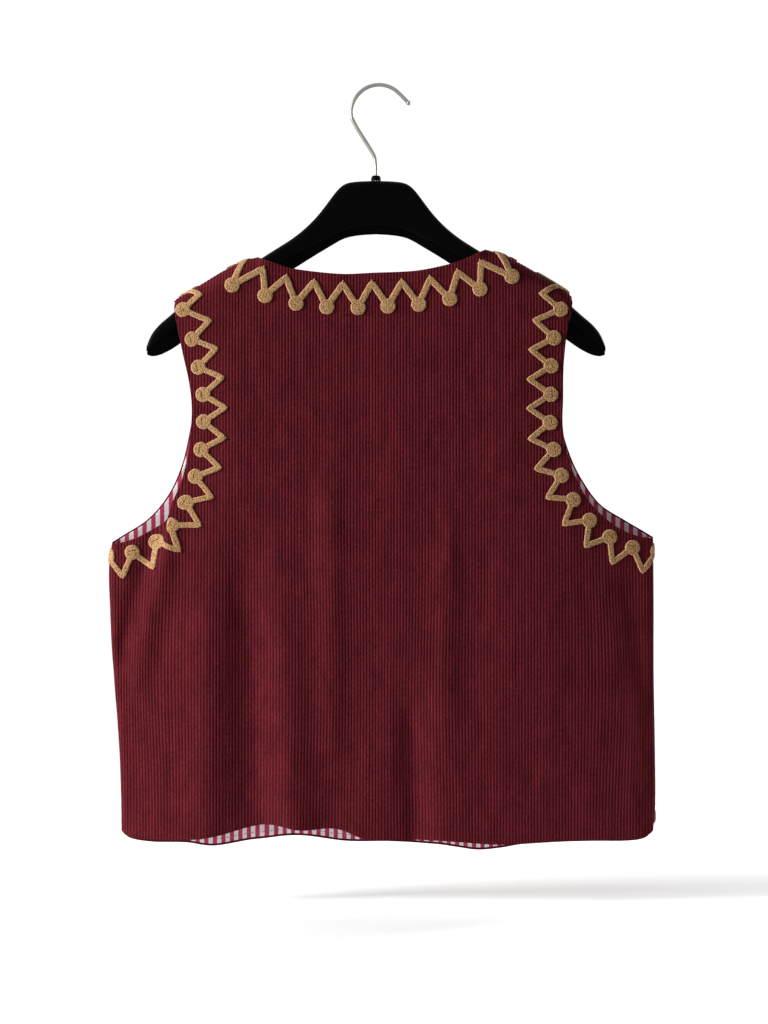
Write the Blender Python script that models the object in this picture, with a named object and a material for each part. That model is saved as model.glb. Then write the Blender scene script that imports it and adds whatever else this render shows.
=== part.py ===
"""Corduroy folk vest on a moulded hanger with a wire hook.

Lengths are millimetres and become metres where a mesh is made. +Z is up, and the
origin is where the inside of the hook rests on a rod. The wearer's back faces -Y
and the wearer's right side is at +X.

Each cloth panel is a wall that follows one surface: a flat outline in X and Z,
rolled over the shoulder ridge and round the side seams, and pushed in and out by a
few broad folds. The raised borders are drawn on the unrolled panels and rolled with
them.
"""

import bpy
import bmesh
from bisect import bisect_right
from collections import namedtuple
from math import asin, atan2, cos, exp, hypot, pi, sin, sqrt
from mathutils import Vector

MM = 0.001

# Walls and gaps
CORDUROY = 1.8
LINING = 1.0
SEAM_GAP = 0.3
LINING_INSET = 1.2
BORDER = 1.2
BORDER_LIFT = 0.5

# Body form
BACK = -1
FRONT = 1
SHOULDER_HALF_DEPTH = 17.0
HEM_HALF_DEPTH = 24.0
SHOULDER_Z = -200.0
HEM_Z = -720.0
RIDGE_ROUND = 16.0
SIDE_ROUND = 6.5
SIDE_SPREAD = 150.0
FOLD_FADE = 45.0

# Border pattern: a zigzag strip with a round dot at each turn of one side
STRIP = 5.2
DOT_RADIUS = 7.6
DOT_ARC_STEPS = 5
LEG_PIECES = 2
TIP = 4.6
PEAK = 0
DOT = 1

# Hook and collar
HANGER_X = -2.9
HANGER_WALL = 2.4
WIRE = 1.9
HOOK_SIDES = 8
STEM_HOLE = 2.3
HOOK_HEAD = 3.6
HEAD_HEIGHT = 2.0
COLLAR_RADIUS = 4.8
COLLAR_HEIGHT = 4.8

Point = namedtuple("Point", "x z")

# Outlines as X and Z, read at the photograph's scale
SHOULDER_LEFT = [Point(-196.5, -205.5), Point(-192.5, -202.5), Point(-177.0, -193.5),
                 Point(-148.0, -176.0), Point(-128.0, -166.8), Point(-117.0, -164.0)]
SHOULDER_RIGHT = [Point(185.0, -201.5), Point(179.0, -195.5), Point(158.0, -182.5),
                  Point(135.5, -169.5), Point(120.5, -162.0), Point(103.0, -156.5)]
OPEN_RIDGE = [Point(-104.0, -154.0), Point(-82.0, -138.0), Point(-40.0, -110.0),
              Point(30.0, -108.0), Point(70.0, -133.0), Point(90.0, -146.0)]
NECK_BACK = [Point(-117.0, -164.0), Point(-111.0, -167.0), Point(-104.0, -169.5),
             Point(-82.5, -176.5), Point(-39.0, -181.5), Point(-5.0, -180.5),
             Point(35.5, -178.5), Point(68.0, -172.0), Point(87.0, -165.0),
             Point(96.0, -160.5), Point(103.0, -156.5)]
NECK_FRONT_LEFT = [Point(-117.0, -164.0), Point(-111.0, -176.0), Point(-100.0, -205.0),
                   Point(-80.0, -252.0), Point(-52.0, -305.0), Point(-20.0, -352.0),
                   Point(4.5, -384.0)]
NECK_FRONT_RIGHT = [Point(103.0, -156.5), Point(99.0, -170.0), Point(90.0, -205.0),
                    Point(76.0, -252.0), Point(55.0, -305.0), Point(29.0, -352.0),
                    Point(7.5, -384.0)]
ARMHOLE_BACK_LEFT = [Point(-196.5, -205.5), Point(-197.3, -213.0), Point(-195.0, -227.0),
                     Point(-189.0, -256.5), Point(-182.5, -286.0), Point(-180.0, -310.5),
                     Point(-181.5, -337.0), Point(-185.0, -361.5), Point(-194.0, -391.0),
                     Point(-206.0, -414.0), Point(-225.5, -429.5), Point(-245.0, -437.0),
                     Point(-257.0, -438.5)]
ARMHOLE_BACK_RIGHT = [Point(185.0, -201.5), Point(186.3, -208.0), Point(184.5, -220.0),
                      Point(180.5, -239.5), Point(177.5, -270.0), Point(177.0, -300.5),
                      Point(176.5, -326.0), Point(180.5, -351.5), Point(188.0, -374.0),
                      Point(203.0, -400.0), Point(226.0, -421.0), Point(247.0, -431.0),
                      Point(264.0, -433.5)]
ARMHOLE_FRONT_LEFT = [Point(-196.5, -205.5), Point(-195.5, -213.0), Point(-193.0, -227.0),
                      Point(-187.5, -256.5), Point(-181.5, -286.0), Point(-180.0, -310.5),
                      Point(-183.5, -335.0), Point(-189.5, -361.0), Point(-198.5, -384.0),
                      Point(-210.5, -403.0), Point(-225.5, -418.5), Point(-245.0, -431.0),
                      Point(-257.0, -438.5)]
ARMHOLE_FRONT_RIGHT = [Point(185.0, -201.5), Point(184.8, -208.0), Point(182.5, -220.0),
                       Point(179.0, -239.5), Point(176.5, -270.0), Point(176.0, -300.5),
                       Point(176.5, -326.0), Point(184.5, -354.0), Point(196.0, -378.0),
                       Point(213.5, -402.0), Point(238.0, -418.0), Point(254.0, -427.5),
                       Point(264.0, -433.5)]
SIDE_LEFT = [Point(-257.0, -438.5), Point(-260.0, -465.0), Point(-259.0, -502.5),
             Point(-257.5, -537.0), Point(-254.0, -584.5), Point(-250.5, -630.5),
             Point(-248.5, -677.5), Point(-248.0, -716.0)]
SIDE_RIGHT = [Point(264.0, -433.5), Point(264.5, -494.0), Point(264.5, -561.0),
              Point(265.5, -630.5), Point(266.0, -689.0), Point(264.0, -716.0)]
CENTRE_LEFT = [Point(4.5, -384.0), Point(4.5, -729.0)]
CENTRE_RIGHT = [Point(7.5, -384.0), Point(7.5, -729.0)]
HEM_BACK = [Point(-248.0, -716.0), Point(-242.0, -719.5), Point(-229.5, -722.0),
            Point(-189.5, -722.5), Point(-156.0, -718.5), Point(-109.5, -707.5),
            Point(-74.5, -712.0), Point(-42.0, -711.0), Point(-16.0, -720.0),
            Point(1.0, -722.5), Point(58.0, -722.0), Point(106.0, -725.5),
            Point(134.5, -725.5), Point(198.0, -722.5), Point(244.0, -722.5),
            Point(258.0, -719.0), Point(264.0, -716.0)]
HEM_FRONT_LEFT = [Point(-248.0, -716.0), Point(-241.0, -723.5), Point(-220.0, -728.0),
                  Point(-187.0, -730.0), Point(-159.5, -733.5), Point(-118.0, -726.5),
                  Point(-77.0, -724.0), Point(-33.0, -729.0), Point(4.5, -729.0)]
HEM_FRONT_RIGHT = [Point(7.5, -729.0), Point(49.5, -731.0), Point(74.0, -735.0),
                   Point(96.0, -738.0), Point(117.5, -736.0), Point(147.0, -731.0),
                   Point(202.0, -728.5), Point(240.0, -727.0), Point(257.0, -723.5),
                   Point(264.0, -716.0)]

# Broad folds: the centre line from top to foot, a half width, a height (a trough is
# negative), and whether the fold runs out at its foot or fades there
Fold = namedtuple("Fold", "x_top z_top x_foot z_foot width height runs_out")

FOLDS = {
    BACK: [
        Fold(-128.0, -430.0, -135.0, -723.0, 20.0, -3.5, True),
        Fold(-86.0, -400.0, -84.0, -723.0, 22.0, 3.5, True),
        Fold(-36.0, -480.0, -38.0, -723.0, 20.0, -3.0, True),
        Fold(-10.0, -540.0, -12.0, -723.0, 20.0, 3.0, True),
        Fold(22.0, -520.0, 19.0, -723.0, 20.0, -5.0, True),
        Fold(56.0, -450.0, 62.0, -723.0, 24.0, 4.0, True),
        Fold(84.0, -420.0, 82.0, -640.0, 22.0, -2.5, False),
        Fold(164.0, -440.0, 170.0, -723.0, 24.0, -3.0, True),
        Fold(214.0, -470.0, 208.0, -723.0, 22.0, 2.5, True),
        Fold(-176.0, -470.0, -180.0, -723.0, 24.0, 2.5, True),
        Fold(-190.0, -430.0, -238.0, -600.0, 22.0, -3.0, False),
    ],
    FRONT: [
        Fold(-170.0, -420.0, -160.0, -736.0, 24.0, 4.0, True),
        Fold(-118.0, -450.0, -112.0, -736.0, 28.0, -2.5, True),
        Fold(-62.0, -400.0, -66.0, -736.0, 24.0, 3.0, True),
        Fold(58.0, -430.0, 52.0, -736.0, 28.0, -2.5, True),
        Fold(104.0, -420.0, 98.0, -736.0, 24.0, 4.5, True),
        Fold(160.0, -460.0, 156.0, -736.0, 28.0, -2.5, True),
        Fold(206.0, -450.0, 210.0, -736.0, 24.0, 2.5, True),
    ],
}

# Rows of points on every panel: round the shoulder roll, beside the armhole, and
# beside the side seam
ROLL_ANGLES = [0.0, pi / 6, pi / 3, pi / 2]
ARMHOLE_ROWS = 8
SIDE_ROWS = 6
UNDERARM_ROW = len(ROLL_ANGLES) - 1 + ARMHOLE_ROWS
LAST_ROW = UNDERARM_ROW + SIDE_ROWS
LINING_ROWS = [0, 1, 2, 3, 5, 7, *range(UNDERARM_ROW - 2, LAST_ROW + 1)]
# How much closer together the rows are where an armhole turns to the side seam, how
# far the underarm row drops away from the armhole's edge, and how late the columns
# move from their places at the shoulder to their places at the hem
UNDERARM_CROWD = 1.1
UNDERARM_DROP = 6.0
COLUMN_SHIFT = 1.5

# Columns, as distances in from a side seam: round its bend, then to the middle
BEND_STEPS = [SIDE_ROUND * (1 - cos(angle)) for angle in ROLL_ANGLES]
ACROSS_STEPS = [*BEND_STEPS, 18.0, 36.0, 58.0, 82.0, 106.0, 130.0, 154.0, 178.0,
                202.0, 227.0]
SHOULDER_COLUMNS = 4
NECK_STEPS = [0.0, 1.9, 7.0, 14.0]

# The hanger's arm: distance out from the middle, top, lower edge of the wall on the
# back's side, lower edge of the other wall, and half the depth
Arm = namedtuple("Arm", "out top ledge foot half_depth")

ARM_SECTIONS = [
    Arm(0.0, -90.6, -133.0, -141.5, 6.0), Arm(15.0, -91.0, -134.0, -142.3, 6.0),
    Arm(29.0, -92.3, -137.2, -144.5, 6.0), Arm(36.0, -97.0, -140.5, -148.0, 6.1),
    Arm(44.0, -108.5, -145.0, -153.0, 6.2), Arm(56.0, -124.5, -150.5, -160.0, 6.5),
    Arm(68.0, -136.5, -156.5, -167.5, 6.8), Arm(80.0, -146.0, -163.0, -175.0, 7.1),
    Arm(93.0, -154.2, -170.5, -183.0, 7.4), Arm(107.0, -162.8, -179.0, -192.5, 7.8),
    Arm(114.0, -168.2, -183.5, -197.0, 7.9), Arm(126.0, -171.8, -190.5, -204.5, 8.0),
    Arm(140.0, -178.0, -199.5, -213.5, 8.2), Arm(155.0, -186.4, -208.5, -223.0, 8.2),
    Arm(170.0, -195.9, -218.0, -233.0, 8.2), Arm(184.0, -207.4, -226.5, -243.0, 8.2),
    Arm(196.5, -219.0, -235.0, -252.0, 8.0),
    Arm(207.5, -228.0, -243.0, -257.5, 7.6), Arm(215.0, -236.5, -249.5, -259.3, 6.8),
    Arm(219.0, -244.5, -253.5, -258.6, 5.5), Arm(220.5, -249.5, -254.8, -257.6, 4.2),
]

# The hook's wire from inside the hanger up the stem and round to its open end
STEM = [Point(-2.9, -85.0), Point(-3.1, -74.0), Point(-5.0, -66.0), Point(-12.5, -53.5),
        Point(-21.0, -40.0)]
HOOK_CENTRE = Point(0.0, -24.5)
HOOK_BEND = 26.4
HOOK_START = pi * 1.08
HOOK_END = pi * 0.28
HOOK_TAIL = [Point(21.5, -8.5), Point(28.7, -15.9)]


def smooth_curve(points, step):
    """Points about a step apart on a smooth curve through the given ones."""
    ends = [points[0], *points, points[-1]]
    curve = []
    for before, start, end, after in zip(ends, ends[1:], ends[2:], ends[3:]):
        count = max(1, round(hypot(end.x - start.x, end.z - start.z) / step))
        for i in range(count):
            t = i / count
            place = []
            for a, b, c, d in zip(before, start, end, after):
                place.append(0.5 * (2 * b + (c - a) * t + (2 * a - 5 * b + 4 * c - d) * t ** 2
                                    + (3 * b - a - 3 * c + d) * t ** 3))
            curve.append(Point(*place))
    curve.append(points[-1])
    return curve


def lengths_along(points):
    """Distance from the first point to each point, along the line."""
    total = [0.0]
    for a, b in zip(points, points[1:]):
        total.append(total[-1] + hypot(b.x - a.x, b.z - a.z))
    return total


def between(a, b, t):
    return Point(a.x + (b.x - a.x) * t, a.z + (b.z - a.z) * t)


def points_at(points, distances):
    """The places at some distances along a line of points."""
    totals = lengths_along(points)
    places = []
    for distance in distances:
        i = min(max(bisect_right(totals, distance) - 1, 0), len(points) - 2)
        t = (distance - totals[i]) / (totals[i + 1] - totals[i])
        places.append(between(points[i], points[i + 1], t))
    return places


def spread(points, count):
    """Points evenly spaced along a line, its first and last included."""
    length = lengths_along(points)[-1]
    return points_at(points, [length * i / count for i in range(count + 1)])


def above_chord(points):
    """The points as shares of their width, and heights over the line from end to end."""
    start, end = points[0], points[-1]
    shares = [(p.x - start.x) / (end.x - start.x) for p in points]
    return [Point(share, p.z - between(start, end, share).z)
            for share, p in zip(shares, points)]


def lookup(table, key, value, at):
    """A value between the rows of a table that rises in its key."""
    keys = [getattr(row, key) for row in table]
    i = min(max(bisect_right(keys, at) - 1, 0), len(table) - 2)
    t = min(max((at - keys[i]) / (keys[i + 1] - keys[i]), 0.0), 1.0)
    low = getattr(table[i], value)
    return low + (getattr(table[i + 1], value) - low) * t


RIDGE_LINE = sorted(smooth_curve(SHOULDER_LEFT, 5.0) + OPEN_RIDGE
                    + smooth_curve(SHOULDER_RIGHT, 5.0))
LEFT_SIDE_LINE = smooth_curve(SIDE_LEFT, 12.0)[::-1]
RIGHT_SIDE_LINE = smooth_curve(SIDE_RIGHT, 12.0)[::-1]


def ridge_z(x):
    """Height of the shoulder ridge, carried on over the open neck."""
    return lookup(RIDGE_LINE, "x", "z", x)


def left_x(z):
    return lookup(LEFT_SIDE_LINE, "z", "x", z)


def right_x(z):
    return lookup(RIGHT_SIDE_LINE, "z", "x", z)


def seam_distance(x, z):
    """How far in from the nearer side seam a place is."""
    return max(0.0, min(x - left_x(z), right_x(z) - x))


def bend(distance, radius):
    """Share of its full depth that a round edge has reached at a distance in."""
    return sqrt(max(0.0, 1 - max(0.0, 1 - distance / radius) ** 2))


def fold_height(side, x, z):
    """How far the folds push the cloth out at a place."""
    total = 0.0
    for fold in FOLDS[side]:
        t = (z - fold.z_top) / (fold.z_foot - fold.z_top)
        if t <= 0.0 or (t >= 1.0 and not fold.runs_out):
            continue
        across = (x - fold.x_top - (fold.x_foot - fold.x_top) * t) / fold.width
        along = sin(pi / 2 * min(t, 1.0)) if fold.runs_out else sin(pi * t)
        total += fold.height * along ** 2 * exp(-0.5 * across ** 2)
    return total * min(seam_distance(x, z) / FOLD_FADE, 1.0)


def cloth_point(side, x, z):
    """The cloth's outer surface at a place in the flat outline."""
    distance = seam_distance(x, z)
    down = min(max((z - SHOULDER_Z) / (HEM_Z - SHOULDER_Z), 0.0), 1.0)
    deepest = SHOULDER_HALF_DEPTH + (HEM_HALF_DEPTH - SHOULDER_HALF_DEPTH) * down
    swell = (deepest - SIDE_ROUND) * sin(pi / 2 * min(distance / SIDE_SPREAD, 1.0))
    depth = SIDE_ROUND * bend(distance, SIDE_ROUND) + swell
    depth *= bend(max(0.0, ridge_z(x) - z), RIDGE_ROUND)
    depth += fold_height(side, x, z) + SEAM_GAP / 2
    return Vector((x, side * depth, z))


class Panel:
    """One cloth panel: its outline, and a grid of points over it."""

    def __init__(self, name, side, top, left, right, hem):
        self.name = name
        self.side = side
        self.top = [smooth_curve(part, 1.5) for part in top]
        self.left = [smooth_curve(part, 1.5) for part in left]
        self.right = [smooth_curve(part, 1.5) for part in right]
        self.hem = smooth_curve(hem, 3.0)
        self.left_seam = left[1] is SIDE_LEFT
        self.right_seam = right[1] is SIDE_RIGHT

    def column_tops(self, count):
        if len(self.top) == 1:
            return spread(self.top[0], count)
        left, neck, right = self.top
        length = lengths_along(neck)[-1]
        inner = count - 2 * SHOULDER_COLUMNS - 2 * len(NECK_STEPS) + 2
        first = NECK_STEPS[-1]
        plain = [first + (length - 2 * first) * i / inner for i in range(1, inner)]
        steps = [*NECK_STEPS, *plain, *(length - s for s in NECK_STEPS[::-1])]
        return (spread(left, SHOULDER_COLUMNS)[:-1] + points_at(neck, steps)
                + spread(right, SHOULDER_COLUMNS)[1:])

    def column_feet(self):
        """Places along the hem, closest together at the side seams."""
        start, end = self.hem[0].x, self.hem[-1].x
        width = end - start
        if self.left_seam and self.right_seam:
            across = [*ACROSS_STEPS, width / 2, *(width - s for s in ACROSS_STEPS[::-1])]
        elif self.left_seam:
            across = [*ACROSS_STEPS, width]
        else:
            across = [0.0, *(width - s for s in ACROSS_STEPS[::-1])]
        return [Point(start + s, lookup(self.hem, "x", "z", start + s)) for s in across]

    def edge_points(self, edge, has_armhole):
        """One point a row down a side of the panel."""
        upper, lower = edge
        rolled = [upper[0].z - RIDGE_ROUND * (1 - cos(angle)) for angle in ROLL_ANGLES]
        roll = [min(upper, key=lambda p: abs(p.z - z)) for z in rolled]
        rest = upper[upper.index(roll[-1]):]
        length = lengths_along(rest)[-1]
        crowd = UNDERARM_CROWD if has_armhole else 1.0
        steps = [length * (1 - (1 - i / ARMHOLE_ROWS) ** crowd)
                 for i in range(1, ARMHOLE_ROWS + 1)]
        return roll + points_at(rest, steps) + spread(lower, SIDE_ROWS)[1:]

    def outline_grid(self):
        """Rows of places from the shoulder to the hem."""
        feet = self.column_feet()
        tops = self.column_tops(len(feet) - 1)
        left = self.edge_points(self.left, self.left_seam)
        right = self.edge_points(self.right, self.right_seam)
        roll_end = len(ROLL_ANGLES) - 1
        top_shape, foot_shape = above_chord(tops), above_chord(feet)
        rows = []
        for j, (a, b) in enumerate(zip(left, right)):
            beside_armhole = min(1.0, max(0, j - roll_end) / ARMHOLE_ROWS)
            beside_side = max(0, j - UNDERARM_ROW) / SIDE_ROWS
            even = between(left[roll_end], left[UNDERARM_ROW], beside_armhole).z
            rise = 0.0
            if self.left_seam and self.right_seam and roll_end < j < UNDERARM_ROW:
                rise = even - a.z
            row = []
            for top, foot in zip(top_shape, foot_shape):
                share = top.x + (foot.x - top.x) * beside_armhole ** COLUMN_SHIFT
                bulge = lookup(top_shape, "x", "z", share) * (1 - beside_armhole)
                bulge += lookup(foot_shape, "x", "z", share) * beside_side ** 2
                bulge += rise * sin(pi * share) ** 2
                place = between(a, b, share)
                if j == UNDERARM_ROW:
                    bulge -= self.underarm_drop(place, share)
                row.append(Point(place.x, place.z + bulge))
            rows.append(row)
        return rows

    def underarm_drop(self, place, share):
        drop = UNDERARM_DROP * min(1.0, seam_distance(*place) / SIDE_ROUND)
        if self.left_seam and self.right_seam:
            return drop
        return drop * (1 - share if self.left_seam else share)

    def grid(self):
        """The outer points with their outward normals."""
        points, normals = [], []
        for j, row in enumerate(self.outline_grid()):
            points.append([cloth_point(self.side, *place) for place in row])
            line = [roll_normal(self.side, unroll(place)) for place in row]
            if self.left_seam and j >= UNDERARM_ROW:
                line[0].y = 0.0
            if self.right_seam and j >= UNDERARM_ROW:
                line[-1].y = 0.0
            if j == 0:
                for place, normal in zip(row, line):
                    if ridge_z(place.x) - place.z < SEAM_GAP:
                        normal.y = 0.0
            normals.append([normal.normalized() for normal in line])
        return points, normals


def colour_material(name, colour, roughness, metallic=0.0):
    material = bpy.data.materials.new(name)
    material.use_nodes = True
    shader = material.node_tree.nodes["Principled BSDF"]
    shader.inputs["Base Color"].default_value = (*colour, 1.0)
    shader.inputs["Roughness"].default_value = roughness
    shader.inputs["Metallic"].default_value = metallic
    return material


def add_object(name, vertices, faces, material):
    """An object from points in millimetres."""
    mesh = bpy.data.meshes.new(name)
    mesh.from_pydata([Vector(v) * MM for v in vertices], [], faces)
    mesh.materials.append(material)
    mesh.update()
    made = bpy.data.objects.new(name, mesh)
    bpy.context.collection.objects.link(made)
    return made


def closed_shell(outer, inner, faces):
    """Vertices and faces of a wall between two sheets that share their faces."""
    count = len(outer)
    every = [tuple(face) for face in faces]
    every += [tuple(count + v for v in reversed(face)) for face in faces]
    edges = {(a, b) for face in faces for a, b in zip(face, [*face[1:], face[0]])}
    for a, b in sorted(edges):
        if (b, a) not in edges:
            every.append((b, a, count + a))
            every.append((b, count + a, count + b))
    return [*outer, *inner], every


def add_wall(name, panel, depth, thickness, rows, inset, material):
    """A wall of cloth at a depth under the panel's outer surface."""
    points, normals = panel.grid()
    if inset:
        inset_edges(panel, points, inset)
    outer, inner = [], []
    for j in rows:
        for point, normal in zip(points[j], normals[j]):
            outer.append(point - normal * depth)
            inner.append(point - normal * (depth + thickness))
    width = len(points[0])
    faces = []
    for j in range(len(rows) - 1):
        for i in range(width - 1):
            a = j * width + i
            quad = (a, a + width, a + width + 1, a + 1)
            if panel.side == FRONT:
                quad = (a, a + 1, a + width + 1, a + width)
            faces += [(quad[0], quad[1], quad[2]), (quad[0], quad[2], quad[3])]
    return add_object(name, *closed_shell(outer, inner, faces), material)


def pull(start, end, distance):
    return start + (end - start).normalized() * distance


def inset_edges(panel, points, inset):
    """Draw the free edges in: the hem, the armholes, the neck and the front edge."""
    last = len(points[0]) - 1
    hem = [pull(a, b, inset) for a, b in zip(points[-1], points[-2])]
    points[-1][:] = hem
    for j, row in enumerate(points):
        if j and not (panel.left_seam and j >= UNDERARM_ROW):
            row[0] = pull(row[0], row[1], inset)
        if j and not (panel.right_seam and j >= UNDERARM_ROW):
            row[last] = pull(row[last], row[last - 1], inset)
    for i in range(1, last):
        point = points[0][i]
        if ridge_z(point.x) - point.z > RIDGE_ROUND:
            points[0][i] = pull(point, points[1][i], inset)


def unroll(place):
    """A place in the outline, moved to the flat panel where the bends are opened."""
    x, z = place
    for line, way in ((left_x(z), 1), (right_x(z), -1)):
        distance = (x - line) * way
        if distance < SIDE_ROUND:
            x = line + way * SIDE_ROUND * (1 - asin(min(1.0, 1 - distance / SIDE_ROUND)))
    drop = ridge_z(place.x) - z
    if drop < RIDGE_ROUND:
        z += drop - RIDGE_ROUND * (1 - asin(min(1.0, 1 - drop / RIDGE_ROUND)))
    return Point(x, z)


def roll(side, place):
    """The outer surface at a place on the flat panel."""
    x, z = place
    for line, way in ((left_x(z), 1), (right_x(z), -1)):
        past = SIDE_ROUND - (x - line) * way
        if past > 0:
            x = line + way * SIDE_ROUND * (1 - sin(min(past / SIDE_ROUND, pi / 2)))
    past = z - ridge_z(x) + RIDGE_ROUND
    if past > 0:
        z = ridge_z(x) - RIDGE_ROUND * (1 - sin(min(past / RIDGE_ROUND, pi / 2)))
    return cloth_point(side, x, z)


def roll_normal(side, place):
    """The outward normal at a place on the flat panel."""
    reach = 0.6
    right = roll(side, Point(place.x + reach, place.z))
    left = roll(side, Point(place.x - reach, place.z))
    up = roll(side, Point(place.x, place.z + reach))
    down = roll(side, Point(place.x, place.z - reach))
    return ((right - left).cross(down - up) * side).normalized()


def shoulder_seam(x):
    """Height of the shoulder seam on the flat panel."""
    return ridge_z(x) + RIDGE_ROUND * (pi / 2 - 1)


def left_seam(z):
    return left_x(z) - SIDE_ROUND * (pi / 2 - 1)


def right_seam(z):
    return right_x(z) + SIDE_ROUND * (pi / 2 - 1)


def over_shoulder(place):
    """A place mirrored over the shoulder seam of the flat panel."""
    return Point(place.x, 2 * shoulder_seam(place.x) - place.z)


def round_left(place):
    return Point(2 * left_seam(place.z) - place.x, place.z)


def round_right(place):
    return Point(2 * right_seam(place.z) - place.x, place.z)


class BorderPath:
    """A panel's edge on the flat panel, carried past its seams, that a border follows."""

    def __init__(self, edge, inward, middle, before=None, after=None, past=45.0):
        line = [unroll(p) for p in smooth_curve(edge, 4.0)]
        lead = []
        tail = []
        if before:
            lead = [before(p) for p, s in zip(line, lengths_along(line)) if 0.0 < s < past]
        if after:
            back = line[::-1]
            tail = [after(p) for p, s in zip(back, lengths_along(back)) if 0.0 < s < past]
        self.line = [*lead[::-1], *line, *tail]
        self.normals = self.inward_normals(inward)
        mid = [Point(p.x + n.x * middle, p.z + n.z * middle)
               for p, n in zip(self.line, self.normals)]
        totals = lengths_along(mid)
        self.start = totals[len(lead)]
        self.totals = [t - self.start for t in totals]
        self.length = self.totals[len(lead) + len(line) - 1]

    def inward_normals(self, inward):
        """Directions into the panel, evened out over a few points."""
        last = len(self.line) - 1
        normals = []
        for i in range(last + 1):
            a, b = self.line[max(i - 4, 0)], self.line[min(i + 4, last)]
            run = hypot(b.x - a.x, b.z - a.z)
            normals.append(Point(-(b.z - a.z) / run * inward, (b.x - a.x) / run * inward))
        return normals

    def place(self, along, offset):
        """The place at a distance along the border's middle and in from the edge."""
        i = min(max(bisect_right(self.totals, along) - 1, 0), len(self.totals) - 2)
        t = (along - self.totals[i]) / (self.totals[i + 1] - self.totals[i])
        edge = between(self.line[i], self.line[i + 1], t)
        normal = between(self.normals[i], self.normals[i + 1], t)
        size = hypot(normal.x, normal.z)
        return Point(edge.x + normal.x / size * offset, edge.z + normal.z / size * offset)


def direction(a, b):
    return atan2(b.z - a.z, b.x - a.x)


def polar(centre, angle, radius):
    return Point(centre.x + cos(angle) * radius, centre.z + sin(angle) * radius)


def dot_ring(vertices, faces, centre, previous, following):
    """One dot with room for a leg to each neighbour, as (right, left) pairs."""
    half = asin(STRIP / 2 / DOT_RADIUS)
    to_following = direction(centre, following)
    to_previous = direction(centre, previous)
    turn = (to_previous - to_following + pi) % (2 * pi) - pi
    first, second = to_following, to_following + turn
    if turn < 0:
        first, second = second, first
    arc_start = second + half
    arc = 2 * pi - (second - first) - 2 * half
    angles = [first - half, first + half, second - half]
    angles += [arc_start + arc * i / DOT_ARC_STEPS for i in range(DOT_ARC_STEPS)]
    start = len(vertices)
    vertices.append(centre)
    vertices.extend(polar(centre, angle, DOT_RADIUS) for angle in angles)
    count = len(angles)
    for i in range(count):
        faces.append((start, start + 1 + i, start + 1 + (i + 1) % count))
    first_pair = (start + 1, start + 2)
    second_pair = (start + 3, start + 4)
    if turn < 0:
        first_pair, second_pair = second_pair, first_pair
    return second_pair, first_pair


def add_leg(vertices, faces, start, end):
    """A strip of quads between two (right, left) pairs of vertices."""
    pair = start
    for i in range(1, LEG_PIECES + 1):
        following = end
        if i < LEG_PIECES:
            following = (len(vertices), len(vertices) + 1)
            for a, b in zip(start, end):
                vertices.append(between(vertices[a], vertices[b], i / LEG_PIECES))
        faces.append((pair[0], following[0], following[1], pair[1]))
        pair = following


def flat_border(places):
    """The flat border as vertices and faces, from dots and peaks in turn."""
    vertices, faces = [], []
    exits = None
    for i, (kind, place) in enumerate(places):
        if i == 0 or i == len(places) - 1:
            continue
        previous, following = places[i - 1][1], places[i + 1][1]
        if kind == DOT:
            to_previous, to_following = dot_ring(vertices, faces, place, previous, following)
            entry = (to_previous[1], to_previous[0])
            leaving = to_following
        else:
            bisector = direction(Point(0, 0), Point(
                cos(direction(place, previous)) + cos(direction(place, following)),
                sin(direction(place, previous)) + sin(direction(place, following))))
            opening = direction(place, following) - direction(place, previous)
            opening = (opening + pi) % (2 * pi) - pi
            inner = STRIP / 2 / abs(sin(opening / 2))
            start = len(vertices)
            vertices.append(polar(place, bisector, inner))
            vertices.append(polar(place, bisector + pi, TIP))
            entry = (start + 1, start) if opening < 0 else (start, start + 1)
            leaving = entry
        if exits:
            add_leg(vertices, faces, exits, entry)
        exits = leaving
    return vertices, faces


def cut_flat(mesh, axis, shift, levels, outward):
    """Cut across the flat mesh along lines beside a seam, and drop what is past it.

    The first level is the seam's own. Outward is the seam's direction on the axis.
    """
    other = 1 - axis
    for vertex in mesh.verts:
        vertex.co[axis] -= shift(vertex.co[other])
    plane = Vector((0.0, 0.0, 0.0))
    plane[axis] = outward
    for i, level in enumerate(levels):
        place = Vector((0.0, 0.0, 0.0))
        place[axis] = -level * outward
        every = [*mesh.verts, *mesh.edges, *mesh.faces]
        bmesh.ops.bisect_plane(mesh, geom=every, dist=0.0001, plane_co=place,
                               plane_no=plane, clear_outer=(i == 0))
    for vertex in mesh.verts:
        vertex.co[axis] += shift(vertex.co[other])


def keep_largest(mesh):
    """Drop the scraps that a cut leaves beside the border."""
    groups = []
    left = set(mesh.verts)
    while left:
        group = set()
        edge = [left.pop()]
        while edge:
            vertex = edge.pop()
            group.add(vertex)
            near = {v for e in vertex.link_edges for v in e.verts} & left
            left -= near
            edge.extend(near)
        groups.append(group)
    groups.sort(key=len)
    scraps = [vertex for group in groups[:-1] for vertex in group]
    bmesh.ops.delete(mesh, geom=scraps, context="VERTS")


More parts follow.
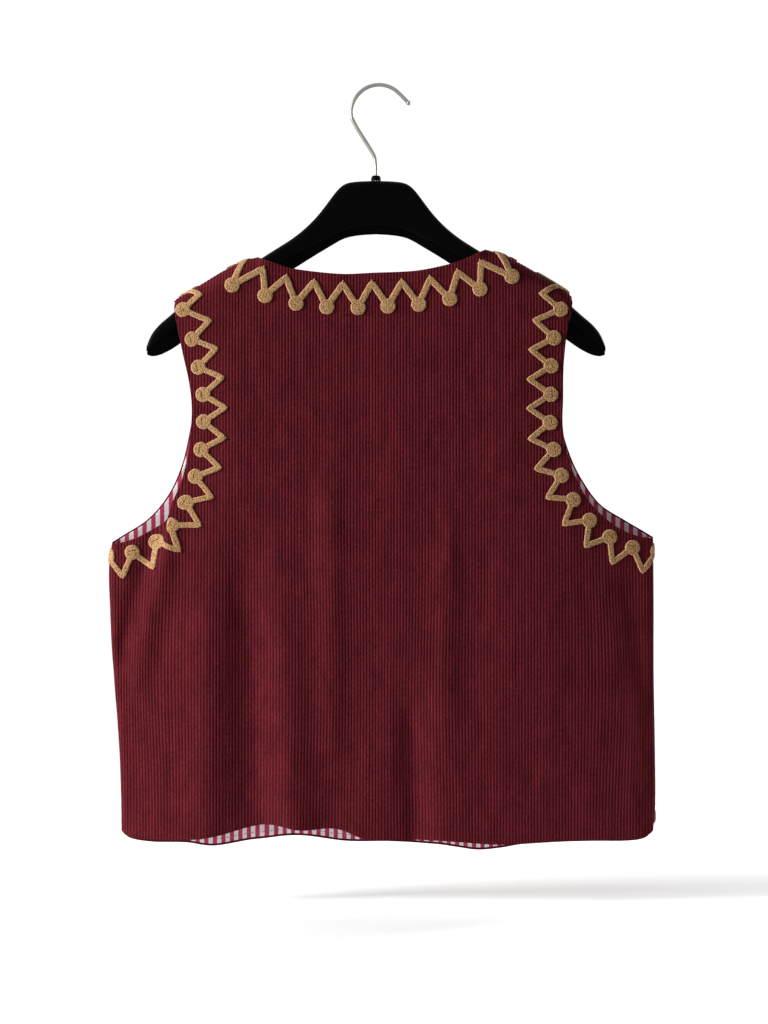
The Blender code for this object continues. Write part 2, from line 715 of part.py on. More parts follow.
def add_border(name, side, places, seams, material):
    """A raised border on a panel, from the places of its dots and peaks."""
    vertices, faces = flat_border(places)
    flat = bmesh.new()
    made = [flat.verts.new((p.x, p.z, 0.0)) for p in vertices]
    for face in faces:
        flat.faces.new([made[i] for i in face])
    bend_levels = [SEAM_GAP / 2] + [SIDE_ROUND * angle for angle in ROLL_ANGLES[1:]]
    ridge_levels = [SEAM_GAP / 2] + [RIDGE_ROUND * angle for angle in ROLL_ANGLES[1:]]
    if "shoulder" in seams:
        cut_flat(flat, 1, shoulder_seam, ridge_levels, 1)
    if "left" in seams:
        cut_flat(flat, 0, left_seam, bend_levels, -1)
    if "right" in seams:
        cut_flat(flat, 0, right_seam, bend_levels, 1)
    if "centre_left" in seams:
        cut_flat(flat, 0, lambda z: CENTRE_LEFT[0].x, [2.0], 1)
    if "centre_right" in seams:
        cut_flat(flat, 0, lambda z: CENTRE_RIGHT[0].x, [2.0], -1)
    keep_largest(flat)
    bmesh.ops.remove_doubles(flat, verts=flat.verts[:], dist=0.05)
    bmesh.ops.triangulate(flat, faces=flat.faces[:])
    flat.verts.index_update()
    spots = [Point(v.co.x, v.co.y) for v in flat.verts]
    triangles = [[v.index for v in face.verts] for face in flat.faces]
    flat.free()
    if side == FRONT:
        triangles = [face[::-1] for face in triangles]
    top, bottom = [], []
    for spot in spots:
        point, normal = roll(side, spot), roll_normal(side, spot)
        bottom.append(point + normal * BORDER_LIFT)
        top.append(point + normal * (BORDER_LIFT + BORDER))
    return add_object(name, *closed_shell(top, bottom, triangles), material)


def pattern(path, dots, peaks, phase, pitch, reach):
    """Dots and peaks in turn along a path, one each half pitch, within its reach."""
    start, end = reach
    first = int((start - phase) / pitch) - 1
    last = int((end - phase) / pitch) + 1
    places = []
    for k in range(2 * first, 2 * last + 1):
        along = phase + k * pitch / 2
        if start <= along <= end:
            kind = DOT if k % 2 == 0 else PEAK
            places.append((kind, path.place(along, dots if kind == DOT else peaks)))
    return places


# Border sizes: how far in from the edge the dots and the peaks' turns are, and the
# distance from dot to dot along the middle of the border
BorderSize = namedtuple("BorderSize", "dots peaks pitch")
ARMHOLE_BORDER = BorderSize(12.9, 33.2, 27.6)
NECK_BORDER = BorderSize(32.5, 9.9, 28.6)
HEM_BORDER = BorderSize(28.0, 8.5, 28.6)


def add_armhole_borders(hand, back_edge, front_edge, inward, round_side, seam, material):
    """The border round one armhole: on the back, and on the front to match it."""
    size = ARMHOLE_BORDER
    middle = (size.dots + size.peaks) / 2
    back = BorderPath(back_edge[::-1], inward, middle, round_side, over_shoulder)
    front = BorderPath(front_edge[::-1], inward, middle, round_side, over_shoulder)
    carried = back.length % size.pitch
    run = front.length - size.pitch + carried
    front_pitch = run / round(run / size.pitch)
    for name, side, path, pitch in (("back", BACK, back, size.pitch),
                                    ("front", FRONT, front, front_pitch)):
        places = pattern(path, size.dots, size.peaks, 0.0, pitch, (-40.0, path.length + 40.0))
        add_border(f"armhole_border_{name}_{hand}", side, places, ("shoulder", seam), material)


def add_neck_borders(material):
    size = NECK_BORDER
    middle = (size.dots + size.peaks) / 2
    back = BorderPath(NECK_BACK, -1, middle, over_shoulder, over_shoulder)
    phase = back.length / 2 + size.pitch / 2
    places = pattern(back, size.dots, size.peaks, phase, size.pitch, (-40.0, back.length + 40.0))
    add_border("neck_border_back", BACK, places, ("shoulder",), material)
    carried = size.pitch - phase % size.pitch
    for hand, edge, inward in (("left", NECK_FRONT_LEFT, -1), ("right", NECK_FRONT_RIGHT, 1)):
        path = BorderPath(edge, inward, middle, over_shoulder)
        start = (size.pitch - carried) % size.pitch
        places = pattern(path, size.dots, size.peaks, size.pitch - start, size.pitch,
                         (-40.0, path.length))
        add_border(f"neck_border_front_{hand}", FRONT, places,
                   ("shoulder", f"centre_{hand}"), material)


def add_hem_borders(material):
    size = HEM_BORDER
    middle = (size.dots + size.peaks) / 2
    for hand, edge, inward, round_side in (
            ("left", HEM_FRONT_LEFT, 1, round_left),
            ("right", HEM_FRONT_RIGHT[::-1], -1, round_right)):
        path = BorderPath(edge, inward, middle, round_side)
        places = pattern(path, size.dots, size.peaks, 0.0, size.pitch, (-40.0, path.length))
        add_border(f"hem_border_front_{hand}", FRONT, places, (hand, f"centre_{hand}"), material)


def roof_z(section):
    """Height of the hollow under the hanger's arm."""
    return section.ledge + (section.top - HANGER_WALL - section.ledge) * 0.7


def arm_outline(section, x):
    """The hanger's section: a wall folded over, open underneath."""
    half = section.half_depth
    inner_half = half - HANGER_WALL
    shoulder = min(half, (section.top - section.ledge) * 0.45)
    crown = section.top - shoulder
    roof = roof_z(section)
    arch = [(-half * cos(a), crown + shoulder * sin(a))
            for a in (0.0, pi / 4, pi / 2, 3 * pi / 4, pi)]
    outline = [(-half, section.ledge), *arch, (half, section.foot),
               (inner_half, section.foot), (inner_half, roof),
               (-inner_half, roof), (-inner_half, section.ledge)]
    return [Vector((x, y, z)) for y, z in outline]


def add_hanger(material):
    rings = []
    for section in ARM_SECTIONS[:0:-1]:
        rings.append(arm_outline(section, HANGER_X - section.out))
    for section in ARM_SECTIONS:
        rings.append(arm_outline(section, HANGER_X + section.out))
    size = len(rings[0])
    vertices = [point for ring in rings for point in ring]
    faces = []
    for r in range(len(rings) - 1):
        for i in range(size):
            a = r * size + i
            b = r * size + (i + 1) % size
            faces += [(a, b, b + size), (a, b + size, a + size)]
    faces.append(tuple(range(size))[::-1])
    faces.append(tuple(range(len(vertices) - size, len(vertices))))
    hanger = add_object("hanger", vertices, faces, material)
    middle = ARM_SECTIONS[0]
    hole = add_turned("hanger_stem_hole", [(STEM_HOLE, middle.top + 5.0),
                                           (STEM_HOLE, roof_z(middle) - 2.0)], material)
    hole.hide_render = True
    hole.display_type = "WIRE"
    drill = hanger.modifiers.new("stem hole", "BOOLEAN")
    drill.operation = "DIFFERENCE"
    drill.solver = "EXACT"
    drill.object = hole
    return hanger


def add_turned(name, profile, material, bore=0.0, sides=16):
    """A round piece about the stem, from radii and heights, top first."""
    rows = profile if not bore else [*profile, (bore, profile[-1][1]), (bore, profile[0][1])]
    vertices = []
    for radius, z in rows:
        for i in range(sides):
            angle = 2 * pi * i / sides
            vertices.append((HANGER_X + radius * cos(angle), radius * sin(angle), z))
    faces = []
    count = len(rows)
    for r in range(count if bore else count - 1):
        for i in range(sides):
            a, b = r * sides + i, r * sides + (i + 1) % sides
            c, d = (r + 1) % count * sides + i, (r + 1) % count * sides + (i + 1) % sides
            faces += [(a, c, d), (a, d, b)]
    if not bore:
        faces.append(tuple(range(sides)))
        faces.append(tuple(range((count - 1) * sides, count * sides))[::-1])
    return add_object(name, vertices, faces, material)


def add_hook(material):
    """The wire hook, with its head under the hanger's top wall."""
    arc_count = 12
    arc = [polar(HOOK_CENTRE, HOOK_START + (HOOK_END - HOOK_START) * i / arc_count, HOOK_BEND)
           for i in range(arc_count + 1)]
    route = smooth_curve([*STEM, *arc, *HOOK_TAIL], 6.0)
    head_top = roof_z(ARM_SECTIONS[0]) - SEAM_GAP
    head = Point(HANGER_X, head_top)
    rings = [(Point(HANGER_X, head_top - HEAD_HEIGHT), HOOK_HEAD), (head, HOOK_HEAD),
             (head, WIRE), *((place, WIRE) for place in route)]
    vertices = []
    for i, (place, radius) in enumerate(rings):
        before, after = rings[max(i - 1, 0)][0], rings[min(i + 1, len(rings) - 1)][0]
        angle = direction(before, after)
        for k in range(HOOK_SIDES):
            turn = 2 * pi * (k + 0.5) / HOOK_SIDES
            out = radius * cos(turn)
            vertices.append((place.x - sin(angle) * out, radius * sin(turn),
                             place.z + cos(angle) * out))
    faces = []
    for r in range(len(rings) - 1):
        for k in range(HOOK_SIDES):
            a, b = r * HOOK_SIDES + k, r * HOOK_SIDES + (k + 1) % HOOK_SIDES
            faces += [(a, b + HOOK_SIDES, b), (a, a + HOOK_SIDES, b + HOOK_SIDES)]
    faces.append(tuple(range(HOOK_SIDES)))
    faces.append(tuple(range(len(vertices) - HOOK_SIDES, len(vertices)))[::-1])
    return add_object("hook", vertices, faces, material)


def build():
    for old in list(bpy.data.objects):
        bpy.data.objects.remove(old)
    corduroy = colour_material("burgundy corduroy", (0.10, 0.012, 0.02), 0.85)
    cotton = colour_material("striped cotton", (0.55, 0.15, 0.22), 0.8)
    camel = colour_material("camel chain stitch", (0.48, 0.27, 0.10), 0.8)
    plastic = colour_material("black plastic", (0.004, 0.004, 0.004), 0.3)
    steel = colour_material("steel wire", (0.45, 0.44, 0.42), 0.3, 1.0)

    panels = [
        Panel("back", BACK, [SHOULDER_LEFT, NECK_BACK, SHOULDER_RIGHT[::-1]],
              [ARMHOLE_BACK_LEFT, SIDE_LEFT], [ARMHOLE_BACK_RIGHT, SIDE_RIGHT], HEM_BACK),
        Panel("front_left", FRONT, [SHOULDER_LEFT],
              [ARMHOLE_FRONT_LEFT, SIDE_LEFT], [NECK_FRONT_LEFT, CENTRE_LEFT],
              HEM_FRONT_LEFT),
        Panel("front_right", FRONT, [SHOULDER_RIGHT[::-1]],
              [NECK_FRONT_RIGHT, CENTRE_RIGHT], [ARMHOLE_FRONT_RIGHT, SIDE_RIGHT],
              HEM_FRONT_RIGHT),
    ]
    every_row = range(LAST_ROW + 1)
    for panel in panels:
        add_wall(panel.name, panel, 0.0, CORDUROY, every_row, 0.0, corduroy)
        add_wall(f"{panel.name}_lining", panel, CORDUROY + SEAM_GAP, LINING, LINING_ROWS,
                 LINING_INSET, cotton)

    add_neck_borders(camel)
    add_armhole_borders("left", ARMHOLE_BACK_LEFT, ARMHOLE_FRONT_LEFT, -1, round_left,
                        "left", camel)
    add_armhole_borders("right", ARMHOLE_BACK_RIGHT, ARMHOLE_FRONT_RIGHT, 1, round_right,
                        "right", camel)
    add_hem_borders(camel)

    add_hanger(plastic)
    collar_foot = ARM_SECTIONS[0].top + SEAM_GAP
    add_turned("hook_collar",
               [(COLLAR_RADIUS * 0.6, collar_foot + COLLAR_HEIGHT),
                (COLLAR_RADIUS * 0.9, collar_foot + COLLAR_HEIGHT * 0.75),
                (COLLAR_RADIUS, collar_foot + COLLAR_HEIGHT * 0.35),
                (COLLAR_RADIUS, collar_foot)], plastic, bore=STEM_HOLE)
    add_hook(steel)


build()
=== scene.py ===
"""Burgundy corduroy folk vest on a moulded hanger with a wire hook.

Every piece of cloth is cut and sewn flat, as on a table, and then hung: its flat place
gives where it lies round the shoulder ridge and the side seams, and its height over the
flat gives how far it stands off the cloth. Flat pieces are in millimetres, and become
metres as they are hung. The wearer's back faces -Y and the wearer's right side is at +X.
"""

from bisect import bisect_right
from collections import namedtuple
from math import atan2, cos, pi, radians, sin

import bmesh
import bpy
import numpy as np
from bpy.props import FloatProperty, FloatVectorProperty
from mathutils import Matrix, Vector


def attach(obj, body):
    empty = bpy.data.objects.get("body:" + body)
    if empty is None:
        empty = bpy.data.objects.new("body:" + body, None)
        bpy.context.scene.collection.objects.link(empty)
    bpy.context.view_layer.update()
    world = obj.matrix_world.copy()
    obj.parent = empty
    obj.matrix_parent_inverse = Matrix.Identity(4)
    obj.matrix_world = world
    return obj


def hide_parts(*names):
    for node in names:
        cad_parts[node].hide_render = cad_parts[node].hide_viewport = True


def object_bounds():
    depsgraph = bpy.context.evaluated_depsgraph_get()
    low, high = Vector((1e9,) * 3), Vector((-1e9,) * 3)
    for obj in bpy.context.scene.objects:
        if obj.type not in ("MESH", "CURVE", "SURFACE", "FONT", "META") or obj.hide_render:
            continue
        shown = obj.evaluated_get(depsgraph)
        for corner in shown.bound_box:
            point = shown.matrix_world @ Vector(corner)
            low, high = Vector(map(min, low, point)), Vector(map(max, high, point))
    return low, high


bl_info = {
    "name": "Corduroy Vest",
    "version": (1, 0, 0),
    "blender": (4, 5, 0),
    "location": "View3D > Sidebar > Vest",
    "description": "Dresses a folk vest and its hanger around the packed solids",
    "category": "Object",
}

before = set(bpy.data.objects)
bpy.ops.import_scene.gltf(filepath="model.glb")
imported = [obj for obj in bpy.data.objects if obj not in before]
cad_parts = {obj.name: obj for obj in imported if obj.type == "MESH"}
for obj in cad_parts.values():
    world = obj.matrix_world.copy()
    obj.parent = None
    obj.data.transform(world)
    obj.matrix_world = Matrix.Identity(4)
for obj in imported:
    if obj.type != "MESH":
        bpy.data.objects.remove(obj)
CAD_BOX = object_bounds()
FLOOR_Z = CAD_BOX[0][2] - 0.05

MM = 0.001

# Body form, in millimetres
BACK = -1
FRONT = 1
SHOULDER_HALF_DEPTH = 17.0
HEM_HALF_DEPTH = 24.0
SHOULDER_Z = -200.0
HEM_Z = -720.0
RIDGE_ROUND = 16.0
SIDE_ROUND = 6.5
SIDE_SPREAD = 150.0
FOLD_FADE = 45.0
CREASE_FADE = 12.0
CREASE_GROWTH = 2.2
SLACK = 0.8

Point = namedtuple("Point", "x z")

# Outlines as X and Z
SHOULDER_LEFT = [Point(-196.5, -205.5), Point(-192.5, -202.5), Point(-177.0, -193.5),
                 Point(-148.0, -176.0), Point(-128.0, -166.8), Point(-117.0, -164.0)]
SHOULDER_RIGHT = [Point(185.0, -201.5), Point(179.0, -195.5), Point(158.0, -182.5),
                  Point(135.5, -169.5), Point(120.5, -162.0), Point(103.0, -156.5)]
OPEN_RIDGE = [Point(-104.0, -154.0), Point(-82.0, -138.0), Point(-40.0, -110.0),
              Point(30.0, -108.0), Point(70.0, -133.0), Point(90.0, -146.0)]
NECK_BACK = [Point(-117.0, -164.0), Point(-111.0, -167.0), Point(-104.0, -169.5),
             Point(-82.5, -176.5), Point(-39.0, -181.5), Point(-5.0, -180.5),
             Point(35.5, -178.5), Point(68.0, -172.0), Point(87.0, -165.0),
             Point(96.0, -160.5), Point(103.0, -156.5)]
NECK_FRONT_LEFT = [Point(-117.0, -164.0), Point(-111.0, -176.0), Point(-100.0, -205.0),
                   Point(-80.0, -252.0), Point(-52.0, -305.0), Point(-20.0, -352.0),
                   Point(4.5, -384.0)]
NECK_FRONT_RIGHT = [Point(103.0, -156.5), Point(99.0, -170.0), Point(90.0, -205.0),
                    Point(76.0, -252.0), Point(55.0, -305.0), Point(29.0, -352.0),
                    Point(7.5, -384.0)]
ARMHOLE_BACK_LEFT = [Point(-196.5, -205.5), Point(-197.3, -213.0), Point(-195.0, -227.0),
                     Point(-189.0, -256.5), Point(-182.5, -286.0), Point(-180.0, -310.5),
                     Point(-181.5, -337.0), Point(-185.0, -361.5), Point(-194.0, -391.0),
                     Point(-206.0, -414.0), Point(-225.5, -429.5), Point(-245.0, -437.0),
                     Point(-257.0, -438.5)]
ARMHOLE_BACK_RIGHT = [Point(185.0, -201.5), Point(186.3, -208.0), Point(184.5, -220.0),
                      Point(180.5, -239.5), Point(177.5, -270.0), Point(177.0, -300.5),
                      Point(176.5, -326.0), Point(180.5, -351.5), Point(188.0, -374.0),
                      Point(203.0, -400.0), Point(226.0, -421.0), Point(247.0, -431.0),
                      Point(264.0, -433.5)]
ARMHOLE_FRONT_LEFT = [Point(-196.5, -205.5), Point(-195.5, -213.0), Point(-193.0, -227.0),
                      Point(-187.5, -256.5), Point(-181.5, -286.0), Point(-180.0, -310.5),
                      Point(-183.5, -335.0), Point(-189.5, -361.0), Point(-198.5, -384.0),
                      Point(-210.5, -403.0), Point(-225.5, -418.5), Point(-245.0, -431.0),
                      Point(-257.0, -438.5)]
ARMHOLE_FRONT_RIGHT = [Point(185.0, -201.5), Point(184.8, -208.0), Point(182.5, -220.0),
                       Point(179.0, -239.5), Point(176.5, -270.0), Point(176.0, -300.5),
                       Point(176.5, -326.0), Point(184.5, -354.0), Point(196.0, -378.0),
                       Point(213.5, -402.0), Point(238.0, -418.0), Point(254.0, -427.5),
                       Point(264.0, -433.5)]
SIDE_LEFT = [Point(-257.0, -438.5), Point(-260.0, -465.0), Point(-259.0, -502.5),
             Point(-257.5, -537.0), Point(-254.0, -584.5), Point(-250.5, -630.5),
             Point(-248.5, -677.5), Point(-248.0, -716.0)]
SIDE_RIGHT = [Point(264.0, -433.5), Point(264.5, -494.0), Point(264.5, -561.0),
              Point(265.5, -630.5), Point(266.0, -689.0), Point(264.0, -716.0)]
CENTRE_LEFT = [Point(4.5, -384.0), Point(4.5, -729.0)]
CENTRE_RIGHT = [Point(7.5, -384.0), Point(7.5, -729.0)]
HEM_BACK = [Point(-248.0, -716.0), Point(-242.0, -719.5), Point(-229.5, -722.0),
            Point(-189.5, -722.5), Point(-156.0, -718.5), Point(-109.5, -707.5),
            Point(-74.5, -712.0), Point(-42.0, -711.0), Point(-16.0, -720.0),
            Point(1.0, -722.5), Point(58.0, -722.0), Point(106.0, -725.5),
            Point(134.5, -725.5), Point(198.0, -722.5), Point(244.0, -722.5),
            Point(258.0, -719.0), Point(264.0, -716.0)]
HEM_FRONT_LEFT = [Point(-248.0, -716.0), Point(-241.0, -723.5), Point(-220.0, -728.0),
                  Point(-187.0, -730.0), Point(-159.5, -733.5), Point(-118.0, -726.5),
                  Point(-77.0, -724.0), Point(-33.0, -729.0), Point(4.5, -729.0)]
HEM_FRONT_RIGHT = [Point(7.5, -729.0), Point(49.5, -731.0), Point(74.0, -735.0),
                   Point(96.0, -738.0), Point(117.5, -736.0), Point(147.0, -731.0),
                   Point(202.0, -728.5), Point(240.0, -727.0), Point(257.0, -723.5),
                   Point(264.0, -716.0)]

# Folds: the centre line from top to foot, a half width, a height (a trough is negative),
# and whether the fold runs out at its foot or fades there
Fold = namedtuple("Fold", "x_top z_top x_foot z_foot width height runs_out")

FOLDS = {
    BACK: [
        Fold(-128.0, -430.0, -135.0, -723.0, 20.0, -3.5, True),
        Fold(-86.0, -400.0, -84.0, -723.0, 22.0, 3.5, True),
        Fold(-36.0, -480.0, -38.0, -723.0, 20.0, -3.0, True),
        Fold(-10.0, -540.0, -12.0, -723.0, 20.0, 3.0, True),
        Fold(22.0, -520.0, 19.0, -723.0, 20.0, -5.0, True),
        Fold(56.0, -450.0, 62.0, -723.0, 24.0, 4.0, True),
        Fold(84.0, -420.0, 82.0, -640.0, 22.0, -2.5, False),
        Fold(164.0, -440.0, 170.0, -723.0, 24.0, -3.0, True),
        Fold(214.0, -470.0, 208.0, -723.0, 22.0, 2.5, True),
        Fold(-176.0, -470.0, -180.0, -723.0, 24.0, 2.5, True),
        Fold(-190.0, -430.0, -238.0, -600.0, 22.0, -3.0, False),
    ],
    FRONT: [
        Fold(-170.0, -420.0, -160.0, -736.0, 24.0, 4.0, True),
        Fold(-118.0, -450.0, -112.0, -736.0, 28.0, -2.5, True),
        Fold(-62.0, -400.0, -66.0, -736.0, 24.0, 3.0, True),
        Fold(58.0, -430.0, 52.0, -736.0, 28.0, -2.5, True),
        Fold(104.0, -420.0, 98.0, -736.0, 24.0, 4.5, True),
        Fold(160.0, -460.0, 156.0, -736.0, 28.0, -2.5, True),
        Fold(206.0, -450.0, 210.0, -736.0, 24.0, 2.5, True),
    ],
}

# Sharper creases beside and between the broad folds
CREASES = {
    BACK: [
        Fold(-165.0, -400.0, -163.0, -723.0, 13.0, 3.6, True),
        Fold(-132.0, -370.0, -114.0, -723.0, 14.0, -6.4, True),
        Fold(-106.0, -420.0, -80.0, -723.0, 11.0, 2.4, True),
        Fold(-47.0, -330.0, -45.0, -690.0, 9.0, 3.2, False),
        Fold(8.0, -560.0, 13.0, -723.0, 10.0, 2.2, True),
        Fold(28.0, -560.0, 38.0, -723.0, 8.0, -4.2, True),
        Fold(67.0, -380.0, 64.0, -660.0, 9.0, 2.8, False),
        Fold(116.0, -440.0, 120.0, -723.0, 16.0, 1.4, True),
        Fold(160.0, -430.0, 164.0, -723.0, 13.0, 2.4, True),
        Fold(221.0, -540.0, 218.0, -723.0, 14.0, -1.4, True),
        Fold(246.0, -520.0, 243.0, -723.0, 9.0, 1.4, True),
        Fold(-207.0, -392.0, -256.0, -580.0, 7.0, -3.4, False),
        Fold(-191.0, -392.0, -234.0, -600.0, 8.0, 3.2, False),
        Fold(-214.0, -560.0, -218.0, -723.0, 12.0, 1.2, True),
        Fold(232.0, -445.0, 257.0, -600.0, 7.0, -1.6, False),
        Fold(-150.0, -225.0, -120.0, -440.0, 14.0, 1.2, False),
        Fold(140.0, -215.0, 112.0, -430.0, 15.0, 1.1, False),
        Fold(20.0, -215.0, 26.0, -430.0, 18.0, 0.9, False),
    ],
    FRONT: [
        Fold(206.0, -430.0, 244.0, -560.0, 6.0, -2.8, False),
        Fold(222.0, -428.0, 256.0, -540.0, 7.0, 2.0, False),
        Fold(-204.0, -430.0, -240.0, -560.0, 6.0, -3.0, False),
        Fold(-222.0, -436.0, -252.0, -540.0, 7.0, 2.0, False),
        Fold(54.0, -540.0, 50.0, -736.0, 8.0, -2.4, True),
        Fold(72.0, -500.0, 70.0, -736.0, 11.0, 1.8, True),
        Fold(-116.0, -520.0, -110.0, -736.0, 9.0, -2.6, True),
        Fold(-92.0, -450.0, -88.0, -736.0, 12.0, 1.8, True),
        Fold(150.0, -420.0, 154.0, -640.0, 10.0, -2.0, False),
        Fold(-190.0, -470.0, -196.0, -736.0, 16.0, 2.2, True),
        Fold(180.0, -480.0, 184.0, -736.0, 15.0, 2.0, True),
    ],
}

# Where the cloth is pulled askew: a line from top to foot, a half width, how far the cloth
# slides along X at the line, and how hard its two sides are drawn together there
Pull = namedtuple("Pull", "x_top z_top x_foot z_foot width slide draw")

PULLS = {
    BACK: [
        Pull(-197.0, -378.0, -206.0, -462.0, 7.0, 0.0, 5.5),
        Pull(-208.0, -440.0, -236.0, -700.0, 22.0, -4.0, 0.0),
        Pull(222.0, -440.0, 244.0, -722.0, 24.0, 4.5, 0.0),
        Pull(-60.0, -420.0, -50.0, -722.0, 30.0, 1.6, 0.0),
        Pull(60.0, -460.0, 40.0, -722.0, 26.0, -1.6, 0.0),
    ],
    FRONT: [
        Pull(216.0, -430.0, 240.0, -700.0, 22.0, 4.0, 0.0),
        Pull(-214.0, -430.0, -240.0, -700.0, 22.0, -4.0, 0.0),
    ],
}

# How finely the panels' edges are followed, and how the panels are cut up before they hang
SEAM_STEP = 1.5
SHORTEST_STEP = 0.4
OUTLINE_SLACK = 0.1
EDGE_ROLL = 1.2
WALE_COLUMNS = [0.0, 0.22, 0.5, 0.78]
WALE_FULLNESS = 0.6
WALE_UNEVEN = 0.15
CHANNEL_DEPTH = 0.55
ROW_STEP = 10.0
RIDGE_ROW_STEP = 4.0
RIDGE_ROWS_FROM = -228.0
RIM_DROP = -0.7
LINING_STEP = 6.0
LINING_GAP = 0.25
LINING_EDGE = 0.8
LINING_ROLL = 0.15
LINING_SLACK = 0.25

# How far each kind of edge is moved in from the body's outline
BACK_INSETS = {"seam": 0.03, "neck": 0.0, "armhole": 0.9, "hem": 0.0}
FRONT_INSETS = {"seam": 0.03, "neck": 0.0, "armhole": -0.6, "hem": 0.0, "centre": 0.0}
BACK_LINING_INSETS = {"seam": 0.15, "neck": 1.2, "armhole": 1.1, "hem": 2.2}
FRONT_LINING_INSETS = {"seam": 0.15, "neck": 1.2, "armhole": 0.8, "hem": 2.3,
                       "centre": 1.2}

# Border pattern: a zigzag strip with a round dot at each turn of one side
STRIP = 5.3
NECK_STRIP = 6.1
STRIP_UNDER = 1.2
FAN_STEPS = 7
TURN_CLEAR = 0.4
KNOTTED_REACH = 1.32
SLIT_REACH = 1.5
OUTER_ROW = 0.75
FLARE_REACH = 45.0
DOT_RADIUS = 7.3
PEAK = 0
DOT = 1
PATH_STEP = 4.0
EVEN_OVER = 4
SEAM_PAST = 45.0
BORDER_PAST = 40.0
SEAM_CLEAR = 0.15
CENTRE_CLEAR = 2.0
KNOT_RADIUS = 1.0
SLIT_OUT = 1.5
SLIT_HALF_WIDTH = 0.5
SLIT_HALF_LENGTH = 4.6
SLIT_DEPTH = 1.5
HAND_STRAY = 0.28
HAND_RISE = 0.12

Turn = namedtuple("Turn", "kind place to_edge")

# How far in from the edge the dots and the peaks' turns are, the distance from dot to dot
# along the middle of the border, the strip's width, how far its corners reach out, and
# whether its dots have a nick or its peaks a knot
BorderSize = namedtuple("BorderSize", "dots peaks pitch strip reach nicked")
ARMHOLE_BORDER = BorderSize(12.9, 33.2, 27.6, STRIP, SLIT_REACH, True)
NECK_BORDER = BorderSize(32.5, 9.9, 28.6, NECK_STRIP, KNOTTED_REACH, False)
HEM_BORDER = BorderSize(28.0, 8.5, 28.6, NECK_STRIP, KNOTTED_REACH, False)

# How much further in from the edge a border runs at the ends of its edge
NECK_FLARE = 6.0
ARMHOLE_FLARES = {"left": -10.0, "right": -5.0}

# How far the last dots of the back neck are moved along from the shoulder seam, and in
NECK_END_DOTS = (6.1, 6.8)

# How far from the side seam the left front's hem border starts, and its first dot is
HEM_START = 5.0
HEM_FIRST_DOT = 12.0

# The stitched strip's section, across it and over the cloth
StripPoint = namedtuple("StripPoint", "across height")
STRIP_SECTION = [StripPoint(-2.6, -0.3), StripPoint(-2.65, 0.5), StripPoint(-2.15, 1.05),
                 StripPoint(-1.35, 1.25), StripPoint(-0.65, 1.0), StripPoint(0.0, 1.3),
                 StripPoint(0.65, 1.0), StripPoint(1.35, 1.25), StripPoint(2.15, 1.05),
                 StripPoint(2.65, 0.5), StripPoint(2.6, -0.3)]
STRIP_STEPS = 12

# The stitched dot's profile, from its rim to its middle
DotPoint = namedtuple("DotPoint", "radius height")
DOT_PROFILE = [DotPoint(7.25, -0.2), DotPoint(7.3, 0.55), DotPoint(6.7, 1.15),
               DotPoint(5.9, 1.35), DotPoint(5.2, 1.1), DotPoint(4.4, 1.45),
               DotPoint(3.5, 1.2), DotPoint(2.6, 1.5), DotPoint(1.6, 1.25),
               DotPoint(0.7, 1.5), DotPoint(0.0, 1.45)]
DOT_STEPS = 24

# Sewing inside the front hems
STITCHES_IN = 6.5
STITCH_LENGTH = 2.5
STITCH_PITCH = 3.5
STITCH_STRAY = 0.15
STITCH_TURN = 0.12

# The hanger's arm: distance out from the middle, top, lower edge of the wall on the
# back's side, lower edge of the other wall, and half the depth
Arm = namedtuple("Arm", "out top ledge foot half_depth")

ARM_SECTIONS = [
    Arm(0.0, -90.6, -133.0, -141.5, 6.0), Arm(15.0, -91.0, -134.0, -142.3, 6.0),
    Arm(29.0, -92.3, -137.2, -144.5, 6.0), Arm(36.0, -97.0, -140.5, -148.0, 6.1),
    Arm(44.0, -108.5, -145.0, -153.0, 6.2), Arm(56.0, -124.5, -150.5, -160.0, 6.5),
    Arm(68.0, -136.5, -156.5, -167.5, 6.8), Arm(80.0, -146.0, -163.0, -175.0, 7.1),
    Arm(93.0, -154.2, -170.5, -183.0, 7.4), Arm(107.0, -162.8, -179.0, -192.5, 7.8),
    Arm(114.0, -168.2, -183.5, -197.0, 7.9), Arm(126.0, -171.8, -190.5, -204.5, 8.0),
    Arm(140.0, -178.0, -199.5, -213.5, 8.2), Arm(155.0, -186.4, -208.5, -223.0, 8.2),
    Arm(170.0, -195.9, -218.0, -233.0, 8.2), Arm(184.0, -207.4, -226.5, -243.0, 8.2),
    Arm(196.5, -219.0, -235.0, -252.0, 8.0),
    Arm(207.5, -228.0, -243.0, -257.5, 7.6), Arm(215.0, -236.5, -249.5, -259.3, 6.8),
    Arm(219.0, -244.5, -253.5, -258.6, 5.5), Arm(220.5, -249.5, -254.8, -257.6, 4.2),
]
HANGER_X = -2.9
HANGER_WALL = 2.4
ARM_STEP = 2.5
TIP_FROM = 200.0
TIP_STEP = 1.0
ROOF_SHARE = 0.7
CROWN_SHARE = 0.45
LIP_ROUND = 0.7
COLLAR_RADIUS = 4.8
COLLAR_BORE = 2.1
COLLAR_HEIGHT = 4.8
COLLAR_FOOT = 1.2
COLLAR_GAP = 0.3

# The hook's wire from inside the hanger up the stem and round to its open end
STEM = [Point(-2.9, -103.0), Point(-2.9, -85.0), Point(-3.1, -74.0), Point(-5.0, -66.0),
        Point(-12.5, -53.5), Point(-21.0, -40.0)]
HOOK_CENTRE = Point(0.0, -24.5)
HOOK_BEND = 26.4
HOOK_START = pi * 1.08
HOOK_END = pi * 0.28
HOOK_TAIL = [Point(21.5, -8.5), Point(27.4, -14.6)]
HOOK_SIDES = 16
WIRE_STEP = 1.5
BALL_RADIUS = 2.3

